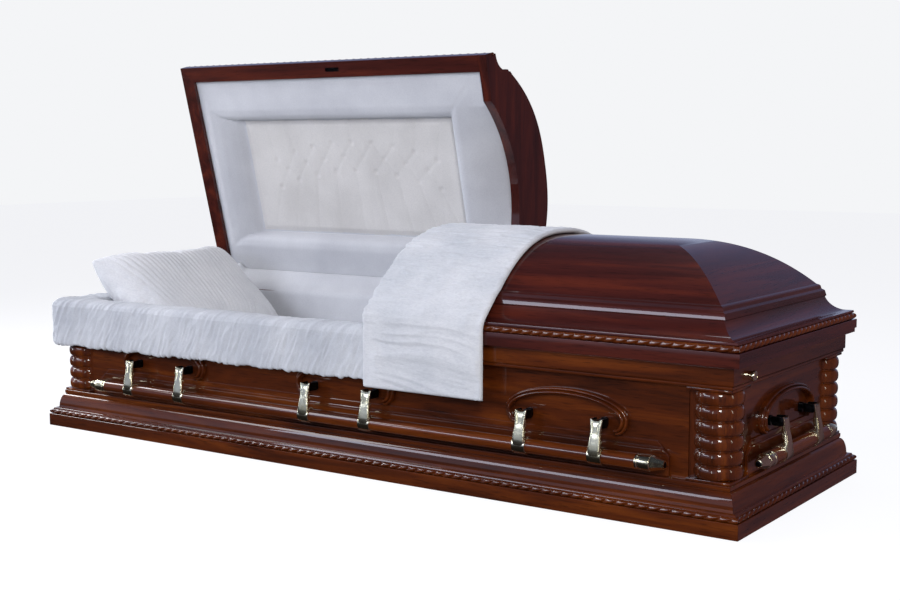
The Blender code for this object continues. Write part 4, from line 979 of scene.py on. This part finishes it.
def throwMesh():
    ledge = lid["coveFoot"] + lid["coveRise"] + 0.0045
    ropeTop = lid["fascia"] + lid["ropeHeight"]
    half = [(lid["inset"], v) for v in (-drape["drop"], 0.0, lid["fascia"], ropeTop)]
    half += [(lid["coveInset"] + lid["coveRun"], ledge), (lid["domeInset"] - 0.004, ledge + 0.002)]
    half += domePoints(lid["domeInset"], lid["domeFoot"], lid["domeSteps"])
    front = [(-(box["halfWidth"] - d), box["lidFoot"] + v) for d, v in half]
    back = [(-y, z) for y, z in reversed(front[4:-1])]
    path, run = resampled(front + back, drape["step"])
    path = softened(path, 22)
    out = pathNormals(path)
    middle = path + out * (drape["lift"] + drape["thickness"] / 2)
    # where the lap over the lid's end comes down to: the end board's arch
    share = easedStep((path[:, 1] - box["lidFoot"]) / 0.05)[:, None]
    archY = path[:, 0] * (lid["archHalf"] - 0.010) / (box["halfWidth"] - lid["inset"])
    archZ = 1 - np.abs(archY / lid["archHalf"]) ** lid["archPower"]
    archZ = box["lidFoot"] + (lid["archRise"] - 0.004) * archZ
    foot = middle - out * 0.006 * (1 - share) + (np.stack([archY, archZ], 1) - middle) * share
    inward = foot - middle
    length = np.linalg.norm(inward, axis=1)[:, None]
    bend = np.minimum(drape["bend"], length * 0.9)
    before = middle + inward / np.maximum(length, 1e-6) * bend
    columns = []
    for t in np.linspace(0, 1, 12)[:-1]:
        columns.append(np.column_stack([np.full(len(path), drape["left"]), foot * (1 - t) + before * t]))
    for t in np.linspace(0, 1, 8):
        flat = before * (1 - t) ** 2 + middle * (1 - (1 - t) ** 2)
        columns.append(np.column_stack([np.full(len(path), drape["left"] + drape["bend"] * t * t), flat]))
    for t in np.linspace(0, 1, drape["columns"])[1:]:
        x = drape["left"] + drape["bend"] + (drape["right"] - drape["left"] - drape["bend"]) * t
        columns.append(np.column_stack([np.full(len(path), x), middle]))
    grid = np.stack(columns, axis=1)
    x = grid[:, :, 0]
    across = np.cumsum(np.linalg.norm(np.diff(grid, axis=1, prepend=grid[:, :1]), axis=2), axis=1)
    fromRight = across[:, -1:] - across
    along = run[:, None] + 0 * across
    lap = easedStep((0.104 - x) / 0.009)
    thin = drape["thickness"] / 2 + (drape["lapThickness"] - drape["thickness"]) / 2 * lap
    edge = roundedEdge(across, 0.004) * roundedEdge(fromRight, 0.0065)
    edge = edge * roundedEdge(along, 0.006) * roundedEdge(run[-1] - along, 0.006)
    normals = gridNormals(grid)
    if normals[60, -10, 1] > 0:
        normals = -normals
    # creases run across the lid: short and sharp on the dome, long and soft where the cloth hangs
    hanging = easedStep((0.20 - along) / 0.12)
    sway = 0.012 * smoothNoise(x / 0.16, along / 0.11, 3) + 0.10 * (x - 0.26) * hanging
    place = along + sway
    crisp = ridgeNoise(x / 0.060, place / 0.0100, 11) * 0.0023
    crisp = crisp + ridgeNoise(x / 0.030, place / 0.0062, 12) * 0.0010
    soft = ridgeNoise(x / 0.24, place / 0.021, 13) * 0.0028
    soft = soft + smoothNoise(x / 0.45, place / 0.036, 14) * 0.0022
    drag = np.exp(-(((x - 0.12) / 0.06) ** 2)) * np.exp(-(((along - 0.09) / 0.05) ** 2))
    pulled = ridgeNoise((along + 1.3 * x) / 0.020, (x - along) / 0.2, 15) * 0.0034 * drag
    crease = crisp * (0.35 + 0.65 * (1 - hanging)) + soft * (0.45 + 0.55 * hanging) + pulled
    calm = easedStep((fromRight - 0.004) / 0.010) * easedStep((across - 0.02) / 0.03)
    calm = calm * easedStep(along / 0.012)
    seam = np.exp(-(((fromRight - 0.019) / 0.0022) ** 2)) * easedStep(across / 0.05)
    crease = crease * calm - 0.0006 * seam
    top = grid + normals * (thin * edge + crease)[..., None]
    low = grid - normals * (thin * edge)[..., None]
    return clothMesh(top, low)


throw = addPiece("throw_draped", throwMesh(), [throwCrepe], "foot_lid", ["throw"], sharp=0)
print("throw")


# Skirt: gathered cloth over the front and head rails

gather = {
    "start": 0.0876, "faceInset": 0.0105, "cornerInset": 0.040, "backY": 0.2842, "step": 0.0026,
    "splitZ": 0.345, "hemZ": 0.2335, "tuckZ": 0.3040, "topZ": 0.3645, "keep": 0.18, "headSwell": 0.008,
}


def gatherPlace(p, d, z):
    # p runs along the rails from the split, round the head corner to the back
    corner, length, width = gather["cornerInset"], box["halfLength"], box["halfWidth"]
    straight = gather["start"] + length - corner
    arc = math.pi / 2 * (corner - gather["faceInset"])
    angle = np.clip((p - straight) / arc, 0, 1) * math.pi / 2
    x = -(length - corner) - (corner - d) * np.sin(angle)
    y = -(width - corner) - (corner - d) * np.cos(angle)
    x = x + np.clip(straight - p, 0, None)
    y = y + np.clip(p - straight - arc, 0, None)
    return np.stack([np.maximum(x, -(length - d)), np.maximum(y, -(width - d)), z + 0 * p], axis=-1)


def gatherRun():
    corner = gather["cornerInset"]
    straight = gather["start"] + box["halfLength"] - corner
    arc = math.pi / 2 * (corner - gather["faceInset"])
    return straight + arc + gather["backY"] + box["halfWidth"] - corner


def gatherMesh(outer, inner, seed, hemmed=False):
    # outer: the seen side of the section as (inset, height) points, inner: the hidden side
    seen = resampled(fillet(outer, 0.010, steps=5), 0.0034)[0]
    out = pathNormals(seen)
    if out[len(out) // 2] @ (seen[len(seen) // 2] - np.array([0.05, 0.30])) < 0:
        out = -out
    # both pieces of the skirt move straight outwards where they meet
    level = np.exp(-(((seen[:, 1] - gather["splitZ"]) / 0.006) ** 2))[:, None] * (seen[:, :1] < 0.03)
    out = out * (1 - level) + np.array([-1.0, 0.0]) * level
    p = np.linspace(0, gatherRun(), round(gatherRun() / gather["step"]))[:, None]
    height = seen[:, 1][None] + 0 * p
    inset = seen[:, 0][None] + 0 * p
    fall = (gather["topZ"] - height) + 0.6 * (inset - 0.03)
    lean = p + 0.42 * height + 0.25 * inset
    fine = ridgeNoise(lean / 0.0090, fall / 0.050, seed) * 0.0017
    fine = fine + ridgeNoise(lean / 0.0056, fall / 0.028, seed + 1) * 0.0008
    wander = 0.006 * smoothNoise(p / 0.05, fall / 0.06, seed + 2)
    folds = ridgeNoise((lean + wander) / 0.021, fall / 0.110, seed + 3) * 0.0014
    puffs = smoothNoise(p / 0.085, fall / 0.10, seed + 4) * 0.0020
    relief = fine + folds + puffs
    if hemmed:
        near = easedStep((gather["hemZ"] + 0.050 - height) / 0.050)
        pucker = ridgeNoise(p / 0.019, 0 * p, seed + 5) * 0.0022
        pucker = pucker + smoothNoise(p / 0.060, 0 * p, seed + 6) * 0.0028
        height = height + near * pucker
        relief = relief + near * 0.0008 * ridgeNoise(p / 0.012, fall / 0.02, seed + 7)
    inset, height = inset + out[:, 0] * relief, height + out[:, 1] * relief
    # fuller round the head end
    head = easedStep((p - gather["start"] - box["halfLength"] + 0.16) / 0.14)
    inset = inset - gather["headSwell"] * head * np.clip((0.034 - inset) / 0.022, 0, 1)
    hidden = np.array(inner)
    inset = np.concatenate([inset, hidden[:, 0][None] + 0 * p], axis=1)
    height = np.concatenate([height, hidden[:, 1][None] + 0 * p], axis=1)
    points = gatherPlace(p + 0 * inset, inset, height)
    return meshFrom(gridMesh(points, closeCols=True, caps=True), 0.00004)


def skirtPieces():
    face, split, hem, top = gather["faceInset"], gather["splitZ"], gather["hemZ"], gather["topZ"]
    valance = [(face, split), (face + 0.0005, 0.30), (face - 0.0005, hem + 0.016)]
    valance += [(face + 0.0005, hem + 0.004), (face + 0.006, hem), (face + 0.0125, hem + 0.004)]
    mesh = gatherMesh(valance, [(face + 0.0150, hem + 0.012), (face + 0.0155, split)], 40, hemmed=True)
    hanging = addPiece("skirt_valance_gathered", mesh, [shirredCrepe], "casket", ["skirt"], sharp=75)
    crown = [(0.0885, split), (0.0880, 0.3535), (0.0800, 0.3600), (0.0550, top), (0.0300, top - 0.0010)]
    crown += [(0.0150, 0.3565), (face, split)]
    mesh = gatherMesh(crown, [(0.0262, split), (0.0270, 0.3501), (0.0785, 0.3501), (0.0790, split)], 40)
    roll = addPiece("skirt_rail_roll_gathered", mesh, [shirredCrepe], "casket", sharp=75)
    tuck = [(0.0885, gather["tuckZ"]), (0.0885, split)]
    mesh = gatherMesh(tuck, [(0.0800, split), (0.0800, gather["tuckZ"])], 40)
    inside = addPiece("skirt_tuck_gathered", mesh, [shirredCrepe], "casket", sharp=75)
    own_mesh(roll)


skirtPieces()
print("skirt")


# Pillow: ruched crepe, leaning on the head end

cushion = {
    "halfWidth": 0.266, "halfLength": 0.194, "halfThickness": 0.072, "tilt": 40.0, "centreX": -0.837,
    "centreZ": 0.3450, "restZ": 0.2462, "steps": (42, 60), "ribPitch": 0.0150, "ribHeight": 0.0042,
    "voxel": 0.0068, "pressure": 4.0, "frames": 20, "cap": 0.008, "keep": 0.42,
}


def plumped(piece, voxel, pressure, frames, cap):
    # fills a closed cover with air in a cloth simulation, then keeps each point within reach of its start
    applied(piece, ("REMESH", {"mode": "VOXEL", "voxel_size": voxel}))
    start = np.array([v.co for v in piece.data.vertices])
    change = piece.modifiers.new("Fill", "CLOTH")
    change.settings.use_pressure = True
    change.settings.uniform_pressure_force = pressure
    change.settings.effector_weights.gravity = 0
    change.settings.quality = 5
    change.point_cache.frame_start = 1
    change.point_cache.frame_end = frames
    scene = bpy.context.scene
    for frameNumber in range(1, frames + 1):
        scene.frame_set(frameNumber)
    applied(piece)
    scene.frame_set(1)
    moved = np.array([v.co for v in piece.data.vertices]) - start
    reach = np.linalg.norm(moved, axis=1, keepdims=True)
    held = start + moved * np.minimum(1, cap / np.maximum(reach, 1e-9))
    piece.data.vertices.foreach_set("co", held.ravel())
    piece.data.update()
    return piece


def cushionPiece():
    tilt = math.radians(cushion["tilt"])
    along = np.array([math.cos(tilt), 0, -math.sin(tilt)])
    lift = np.array([math.sin(tilt), 0, math.cos(tilt)])
    centre = np.array([cushion["centreX"], 0, cushion["centreZ"]])
    u = np.sin(np.linspace(-1, 1, cushion["steps"][0]) * math.pi / 2)[:, None]
    v = np.sin(np.linspace(-1, 1, cushion["steps"][1]) * math.pi / 2)[None]
    thick = cushion["halfThickness"] * np.sqrt(np.clip((1 - u ** 4) * (1 - v ** 4), 0, 1))
    a = u * cushion["halfLength"] * (1 - 0.07 * (1 - v * v) * np.abs(u) ** 3)
    y = v * cushion["halfWidth"] * (1 - 0.06 * (1 - u * u) * np.abs(v) ** 3)
    faces = []
    for side in (1, -1):
        grid = centre + a[..., None] * along + (side * thick)[..., None] * lift
        grid[..., 1] = y
        grid[..., 2] = np.maximum(grid[..., 2], cushion["restZ"])
        faces.append(grid)
    mesh = clothMesh(*faces, weld=0.0004)
    piece = addPiece("pillow_ruched", mesh, [pillowCrepe], "casket", ["pillow"], sharp=0)
    plumped(piece, cushion["voxel"], cushion["pressure"], cushion["frames"], cushion["cap"])
    applied(piece, ("SUBSURF", {"levels": 1, "render_levels": 1}))
    mesh = piece.data
    points = np.array([p.co for p in mesh.vertices])
    normals = np.array([n.vector for n in mesh.vertex_normals])
    local = points - centre
    down, side = local @ along, local[:, 1]
    spread = side * (1 + 0.16 * down / cushion["halfLength"])
    wander = 0.006 * smoothNoise(down / 0.09, side / 0.07, 5)
    ribs = np.abs(np.sin(math.pi * (spread + wander) / cushion["ribPitch"])) ** 0.7 - 0.6
    ribs = ribs * (0.55 + 0.45 * smoothNoise(down / 0.11, side / 0.05, 6))
    fine = ridgeNoise(down / 0.06, (side + wander) / 0.008, 7) * 0.0006
    rim = 1 - np.maximum(np.abs(down) / cushion["halfLength"], np.abs(side) / cushion["halfWidth"])
    gathers = ridgeNoise(np.arctan2(side, down * 1.4) / 0.10, down * 0, 8) * 0.0026 * np.exp(-rim / 0.10)
    calm = easedStep(rim / 0.05)
    points += normals * (ribs * cushion["ribHeight"] * calm + fine + gathers)[:, None]
    points[:, 2] = np.maximum(points[:, 2], cushion["restZ"])
    mesh.vertices.foreach_set("co", points.ravel())
    mesh.update()
    mesh.shade_smooth()
    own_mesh(piece)


cushionPiece()
print("pillow")


# Head lid's lining: padded rolls round a tufted panel

lining = {
    "left": -0.9962, "right": 0.0614, "front": -0.3102, "seam": 0.2990, "roll": 0.128, "edgeV": 0.011,
    "bulgeV": 0.003, "panelV": 0.050, "step": 0.0052, "panelStep": 0.0036, "stitch": 0.0024, "pad": 0.020,
    "tuftPitch": 0.075, "tuftTop": -0.109, "tuftArch": 0.60, "tuftRow": 0.043, "tuftMiddle": -0.450,
    "tuftReach": 0.33,
}


def rollHeight(t):
    # depth above the lid's lower face, from the wooden frame (0) to the panel (1)
    keys = [(0, lining["edgeV"]), (0.10, 0.0065), (0.28, lining["bulgeV"]), (0.50, 0.008), (0.72, 0.020)]
    keys += [(0.9, 0.036), (1.0, lining["panelV"] + 0.001)]
    fine = np.linspace(0, 1, 201)
    shape = softened(np.interp(fine, *zip(*keys))[:, None], 60)[:, 0]
    return np.interp(t, fine, shape)


def rollsMesh():
    x = np.arange(lining["left"], lining["right"] + 0.001, lining["step"])
    x = np.append(x[:-1], lining["right"])[:, None]
    y = np.arange(lining["front"], lining["seam"] + 0.001, lining["step"])
    y = np.append(y[:-1], lining["seam"])[None]
    w = lining["roll"]

    def curved(t):
        return 1 - np.sqrt(np.clip(1 - np.clip(t, 0, 1) ** 2, 0, 1))

    head = np.clip((x - lining["left"]) / w, 0, 1) + 0 * y
    split = curved(np.clip((lining["right"] - x) / w, 0, 1) ** 1.33) + 0 * y
    ahead = curved((y - lining["front"]) / w) + 0 * x
    behind = curved((lining["seam"] - y) / (w * 0.92)) + 0 * x
    fields = np.stack([head, split, ahead, behind])
    order = np.sort(fields, axis=0)
    gradient = np.gradient(order[1] - order[0])
    slope = np.hypot(*gradient) / lining["step"]
    apart = (order[1] - order[0]) / np.maximum(slope, 1.0)
    height = rollHeight(order[0])
    pinch = np.exp(-((apart / 0.0045) ** 2)) * (order[0] < 0.97)
    height = height + lining["stitch"] * pinch * easedStep(order[0] / 0.08)
    # towards the split the roll rises to the end board's arch
    arching = lid["archRise"] * np.clip(1 - np.abs(y / lid["archHalf"]) ** lid["archPower"], 0, 1)
    arching = arching - lining["edgeV"]
    height = height + np.clip(arching, 0, 1) * np.clip(1 - (lining["right"] - x) / w, 0, 1) ** 2
    puff = smoothNoise(x / 0.19, y / 0.13, 21) * 0.0016 + smoothNoise(x / 0.07, y / 0.06, 22) * 0.0005
    height = height + puff * easedStep((1 - order[0]) / 0.2) * easedStep(order[0] / 0.15)
    z = box["lidFoot"] + height
    thick = np.interp(rimDistance(x, y), [0, 0.004, 0.03], [0.003, 0.012, lining["pad"]])
    return clothMesh(levelGrid(x, y, z), levelGrid(x, y, z + thick))


def tufts():
    found = []
    for row in range(3):
        for k in range(-5, 6):
            along = (k + (0.5 if row % 2 else 0)) * lining["tuftPitch"]
            if abs(along) <= lining["tuftReach"]:
                drop = lining["tuftArch"] * along ** 2
                across = lining["tuftTop"] + drop + row * lining["tuftRow"]
                found.append((row, lining["tuftMiddle"] + along, across))
    return found


def panelMesh():
    left, right = lining["left"] + lining["roll"] - 0.004, lining["right"] - lining["roll"] + 0.004
    front, back = lining["front"] + lining["roll"] - 0.004, lining["seam"] - lining["roll"] * 0.92 + 0.004
    x = np.linspace(left, right, round((right - left) / lining["panelStep"]))[:, None]
    y = np.linspace(front, back, round((back - front) / lining["panelStep"]))[None]
    deep = np.zeros((x.shape[0], y.shape[1]))
    buttons = tufts()
    lines = []
    for row, bx, by in buttons:
        deep = np.maximum(deep, 0.0030 * np.exp(-((((x - bx) ** 2 + (y - by) ** 2) / 0.0085 ** 2))))
        lines += [((bx, by), (cx, cy), 0.0011) for other, cx, cy in buttons
                  if other == row + 1 and abs(cx - bx) < lining["tuftPitch"] * 0.7]
        if row == 0:
            lines.append(((bx, by), (bx + (bx - lining["tuftMiddle"]) * 0.10, front), 0.0009))
        if row == 2:
            lines.append(((bx, by), (bx + (bx - lining["tuftMiddle"]) * 0.22, back), 0.0010))
    for (ax, ay), (cx, cy), amount in lines:
        run = np.array([cx - ax, cy - ay])
        t = np.clip(((x - ax) * run[0] + (y - ay) * run[1]) / (run @ run), 0, 1)
        away = np.hypot(x - ax - t * run[0], y - ay - t * run[1])
        deep = np.maximum(deep, amount * np.exp(-away / 0.0042))
    swell = 0.010 * easedStep(rimDistance(x, y) / 0.030)
    wave = smoothNoise(x / 0.05, y / 0.16, 31) * 0.0009 + ridgeNoise(x / 0.020, y / 0.14, 32) * 0.0004
    z = box["lidFoot"] + lining["panelV"] + 0.0035 - swell + deep * 1.15 + wave
    behind = box["lidFoot"] + lining["panelV"] + 0.016 + 0 * z
    return clothMesh(levelGrid(x, y, z), levelGrid(x, y, behind))


def dressHeadLid():
    rolls = addPiece(
        "head_lid_rolls_padded", openedMesh(rollsMesh()), [rollVelvet], "head_lid",
        ["head_lid_roll_border"], sharp=50)
    panel = addPiece(
        "head_lid_panel_tufted", openedMesh(panelMesh()), [panelCrepe], "head_lid",
        ["head_lid_cap_panel"], sharp=0)


dressHeadLid()
print("head lid's lining")


# Apron: the cloth that joins the lid's lining to the body

apron = {
    "left": -0.9780, "right": 0.0560, "wallY": 0.2836, "railZ": 0.3530, "footZ": 0.2450, "step": 0.009,
    "pathStep": 0.004, "thickness": 0.0022, "flat": (1.04, 0.25), "peak": 0.020,
    "start": (0, 0.292, 0.358), "end": (0, 0.345, 0.399),
}


def apronPiece():
    seam = Vector((0, lining["seam"] + 0.001, box["lidFoot"] + lining["edgeV"] - 0.0015)) - box["hinge"]
    seam.rotate(Matrix.Rotation(-math.radians(box["headLidAngle"]), 3, "X"))
    seam += box["hinge"]
    path = [(apron["wallY"] - 0.002, apron["footZ"]), (apron["wallY"], apron["railZ"] - 0.03)]
    path += [(apron["wallY"] - 0.001, apron["railZ"]), (0.307, 0.3655), (seam.y - 0.001, seam.z + 0.003)]
    path, run = resampled(fillet(path, 0.03, steps=6), apron["pathStep"])
    path = softened(path, 6)
    x = np.arange(apron["left"], apron["right"], apron["step"])[:, None]
    y, z = path[:, 0][None] + 0 * x, path[:, 1][None] + 0 * x
    share = (run / run[-1])[None] + 0 * x
    slack = smoothNoise(x / 0.21, share * 2.0, 51) * 0.0022 + smoothNoise(x / 0.09, share * 1.2, 52) * 0.0008
    slack = slack * np.sin(math.pi * np.clip(share, 0, 1))
    # its head end is pulled up to a point at the lid's corner
    corner = np.exp(-(((x - apron["left"] - 0.018) / 0.014) ** 2)) * easedStep((share - 0.75) / 0.25)
    pulled = (x + 0 * y, y - slack - 0.006 * corner, z + slack * 0.5 + apron["peak"] * corner)
    grid = np.stack(pulled, axis=-1)
    normals = gridNormals(grid)
    if normals[5, 5, 1] > 0:
        normals = -normals
    half = apron["thickness"] / 2
    mesh = clothMesh(grid + normals * half, grid - normals * half)
    piece = addPiece("lid_apron_stretched", mesh, [rollVelvet], None, sharp=0)
    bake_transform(piece)


apronPiece()
print("apron")


# Body lining, mattress and foot lid's lining

bed = {
    "wallInset": 0.0686, "wall": 0.0074, "wallFoot": 0.0186, "wallTop": 0.3068, "corner": 0.024,
    "pleat": 0.0016, "gap": 0.0058, "mattressFoot": 0.0266, "mattressTop": 0.2440, "edge": 0.030,
    "crown": 0.004, "quilt": 0.105,
}


def roundedRing(d, radius, step):
    # an outline of the box's inside, d from its edge, with rounded corners
    x, y = box["halfLength"] - d, box["halfWidth"] - d
    corners = [(-x, -y), (x, -y), (x, y), (-x, y)]
    ring = fillet(corners, radius, closed=True, steps=6)
    path, run = resampled(ring + ring[:1], step)
    return path[:-1], run[:-1]


def bodyLining():
    path, run = roundedRing(bed["wallInset"], bed["corner"], 0.0085)
    ahead = np.roll(path, -1, axis=0) - np.roll(path, 1, axis=0)
    ahead /= np.linalg.norm(ahead, axis=1)[:, None]
    inward = np.stack([-ahead[:, 1], ahead[:, 0]], 1)
    rows = []
    heights = np.concatenate([[bed["wallFoot"]], np.linspace(0.20, bed["wallTop"], 18)])
    for side in ("outer", "inner"):
        for z in heights if side == "outer" else heights[::-1]:
            drawn = ridgeNoise(run / 0.017, z / 0.06 + 0 * run, 61) * bed["pleat"]
            drawn = drawn * easedStep((z - 0.2) / 0.03)
            depth = 0 * run if side == "outer" else bed["wall"] - 0.0014 + drawn
            rows.append(np.column_stack([path + inward * depth[:, None], np.full(len(path), z)]))
    mesh = meshFrom(gridMesh(np.array(rows), closeRows=True, closeCols=True))
    piece = addPiece("body_lining_hung", mesh, [shirredCrepe], "casket", ["body_lining"], sharp=0)


def mattressPiece():
    inset = bed["wallInset"] + bed["wall"] + bed["gap"]
    x, y = box["halfLength"] - inset, box["halfWidth"] - inset
    a = np.linspace(-x, x, 190)[:, None]
    b = np.linspace(-y, y, 56)[None]
    swell = roundedEdge(rimDistance(a, b), bed["edge"])
    drawn = ridgeNoise(a / 0.018, b / 0.30, 71) * 0.0012 + smoothNoise(a / 0.12, b / 0.10, 72) * 0.0020
    top = bed["mattressTop"] - bed["crown"] - bed["edge"] * (1 - swell) + (drawn + bed["crown"] * 0.4) * swell
    mesh = clothMesh(levelGrid(a, b, top), levelGrid(a, b, bed["mattressFoot"] + 0 * top))
    piece = addPiece("mattress_shirred", mesh, [shirredCrepe], "casket", ["mattress"], sharp=60)


def footLidLining():
    left, right = box["footSplitX"] + lid["header"] + 0.0006, box["halfLength"] - lid["cavity"] - 0.0003
    y = box["halfWidth"] - lid["cavity"] - 0.0003
    a = np.linspace(left, right, 120)[:, None]
    b = np.linspace(-y, y, 86)[None]
    rim = rimDistance(a, b)
    first, second = ((a + b * side) / bed["quilt"] + 0.5 for side in (1, -1))
    channel = np.minimum(np.abs(first - np.round(first)), np.abs(second - np.round(second))) * bed["quilt"]
    puff = 0.0085 * (1 - np.exp(-channel / 0.012))
    z = box["lidFoot"] + 0.0195 - puff * easedStep(rim / 0.02) - 0.003 * roundedEdge(rim, 0.012)
    z = z + smoothNoise(a / 0.05, b / 0.05, 81) * 0.0005
    mesh = clothMesh(levelGrid(a, b, z), levelGrid(a, b, box["lidFoot"] + 0.024 + 0 * z))
    piece = addPiece(
        "foot_lid_lining_quilted", mesh, [rollVelvet], "foot_lid", ["foot_lid_lining"], sharp=0)


bodyLining()
mattressPiece()
footLidLining()
print("bed")


# Floor, light and camera

floorSize = 14.0
bm = bmesh.new()
bmesh.ops.create_grid(bm, x_segments=1, y_segments=1, size=floorSize)
bmesh.ops.translate(bm, verts=bm.verts, vec=(0, 0, -0.0005))
paper = bpy.data.materials.new("white paper sweep")
paper.use_nodes = True
tree = paper.node_tree
seen = addNode(tree, "ShaderNodeLightPath").outputs["Is Camera Ray"]
glow = addNode(tree, "ShaderNodeMapRange", None, {"Value": seen, "To Min": 0.27, "To Max": 0.93})
plugIn(tree, tree.nodes["Principled BSDF"], {
    "Base Color": hexColour("#7C7C7E"), "Emission Color": hexColour("#F6F7F9"),
    "Emission Strength": glow.outputs["Result"], "Roughness": 0.9})
floor = addPiece("floor", meshFrom(bm, 0), [paper], None)
floor.visible_glossy = False    # the lacquer shows the studio's dark floor instead, as in the photograph

# the lens sees plain white; the object is lit by a dim room with a bright band low behind it
studio = {
    "backdrop": "#F4F5F7",
    "stops": [
        (0.0, "#181413"), (0.485, "#221D1C"), (0.505, "#B0B8D2"), (0.56, "#9AA4C2"), (0.66, "#6A7092"),
        (0.80, "#383C4C"), (1.0, "#2A2D36")],
    "away": "#5E4A54",    # what the foot end faces: a dim, warm room
}
world = bpy.data.worlds.new("studio")
bpy.context.scene.world = world
world.use_nodes = True
room = world.node_tree
sight = addNode(room, "ShaderNodeTexCoord").outputs["Generated"]
parted = addNode(room, "ShaderNodeSeparateXYZ", None, {"Vector": sight})
height = addNode(room, "ShaderNodeMapRange", None, {
    "Value": parted.outputs["Z"], "From Min": -1.0, "From Max": 1.0}).outputs["Result"]
band = addNode(room, "ShaderNodeValToRGB", {"stops": studio["stops"]}, {"Fac": height})
footwards = addNode(room, "ShaderNodeMapRange", None, {
    "Value": parted.outputs["X"], "From Min": 0.05, "From Max": 0.35}).outputs["Result"]
band = addNode(room, "ShaderNodeMix", {"data_type": "RGBA"}, {
    "Factor": footwards, 6: band.outputs["Color"], 7: hexColour(studio["away"])})
seen = addNode(room, "ShaderNodeLightPath").outputs["Is Camera Ray"]
shown = addNode(room, "ShaderNodeMix", {"data_type": "RGBA"}, {
    "Factor": seen, 6: band.outputs[2], 7: hexColour(studio["backdrop"])})
room.links.new(shown.outputs[2], room.nodes["Background"].inputs["Color"])
bpy.context.scene.view_settings.view_transform = "Standard"

softboxes = [
    # name, place, aim, width, height, watts, colour
    ("overhead", (0.8, 0.5, 3.2), (0.2, 0, 0.3), 2.8, 1.2, 34, "#EEF3FF"),
    ("front left", (-2.6, -2.4, 2.2), (0, 0, 0.3), 1.2, 1.0, 26, "#F8FAFF"),
    ("front right, upper bar", (2.5, -3.2, 2.45), (0.4, 0, 0.3), 0.8, 0.34, 42, "#FFFFFF"),
    ("front right, lower bar", (2.6, -3.3, 1.65), (0.4, 0, 0.3), 0.8, 0.34, 38, "#FFFFFF"),
    ("foot strip", (3.4, -0.5, 0.9), (1.0, 0, 0.25), 0.20, 1.2, 5, "#FFF8E8"),
    ("head end", (-3.0, -0.5, 1.8), (0, 0.3, 0.7), 1.0, 1.0, 45, "#FBFBFF"),
    ("ledge strip", (-1.7, -3.6, 1.45), (0.6, -0.3, 0.45), 2.4, 0.72, 38, "#E6ECFF"),
    ("front strip", (0.6, -3.6, 0.75), (0.2, 0, 0.2), 0.16, 1.3, 6, "#FFFFFF"),
    ("left strip", (-3.6, -1.6, 0.75), (-0.2, 0, 0.2), 0.22, 1.3, 9, "#FFFFFF"),
]
for name, place, aim, width, height, watts, colour in softboxes:
    lamp = bpy.data.lights.new(name, "AREA")
    lamp.shape = "RECTANGLE"
    lamp.size = width
    lamp.size_y = height
    lamp.energy = watts
    lamp.color = hexColour(colour)[:3]
    holder = bpy.data.objects.new(name, lamp)
    holder.location = place
    holder.rotation_euler = (Vector(aim) - Vector(place)).to_track_quat("-Z", "Y").to_euler()
    bpy.context.scene.collection.objects.link(holder)

view = bpy.data.cameras.new("camera")
view.sensor_width = 36.0
view.lens = 55.5
view.clip_end = 60
camera = bpy.data.objects.new("camera", view)
camera.location = (2.1223, -2.9352, 0.7883)
camera.rotation_euler = (math.radians(90 - 6.252), 0, math.radians(34.643))
bpy.context.scene.collection.objects.link(camera)
bpy.context.scene.camera = camera
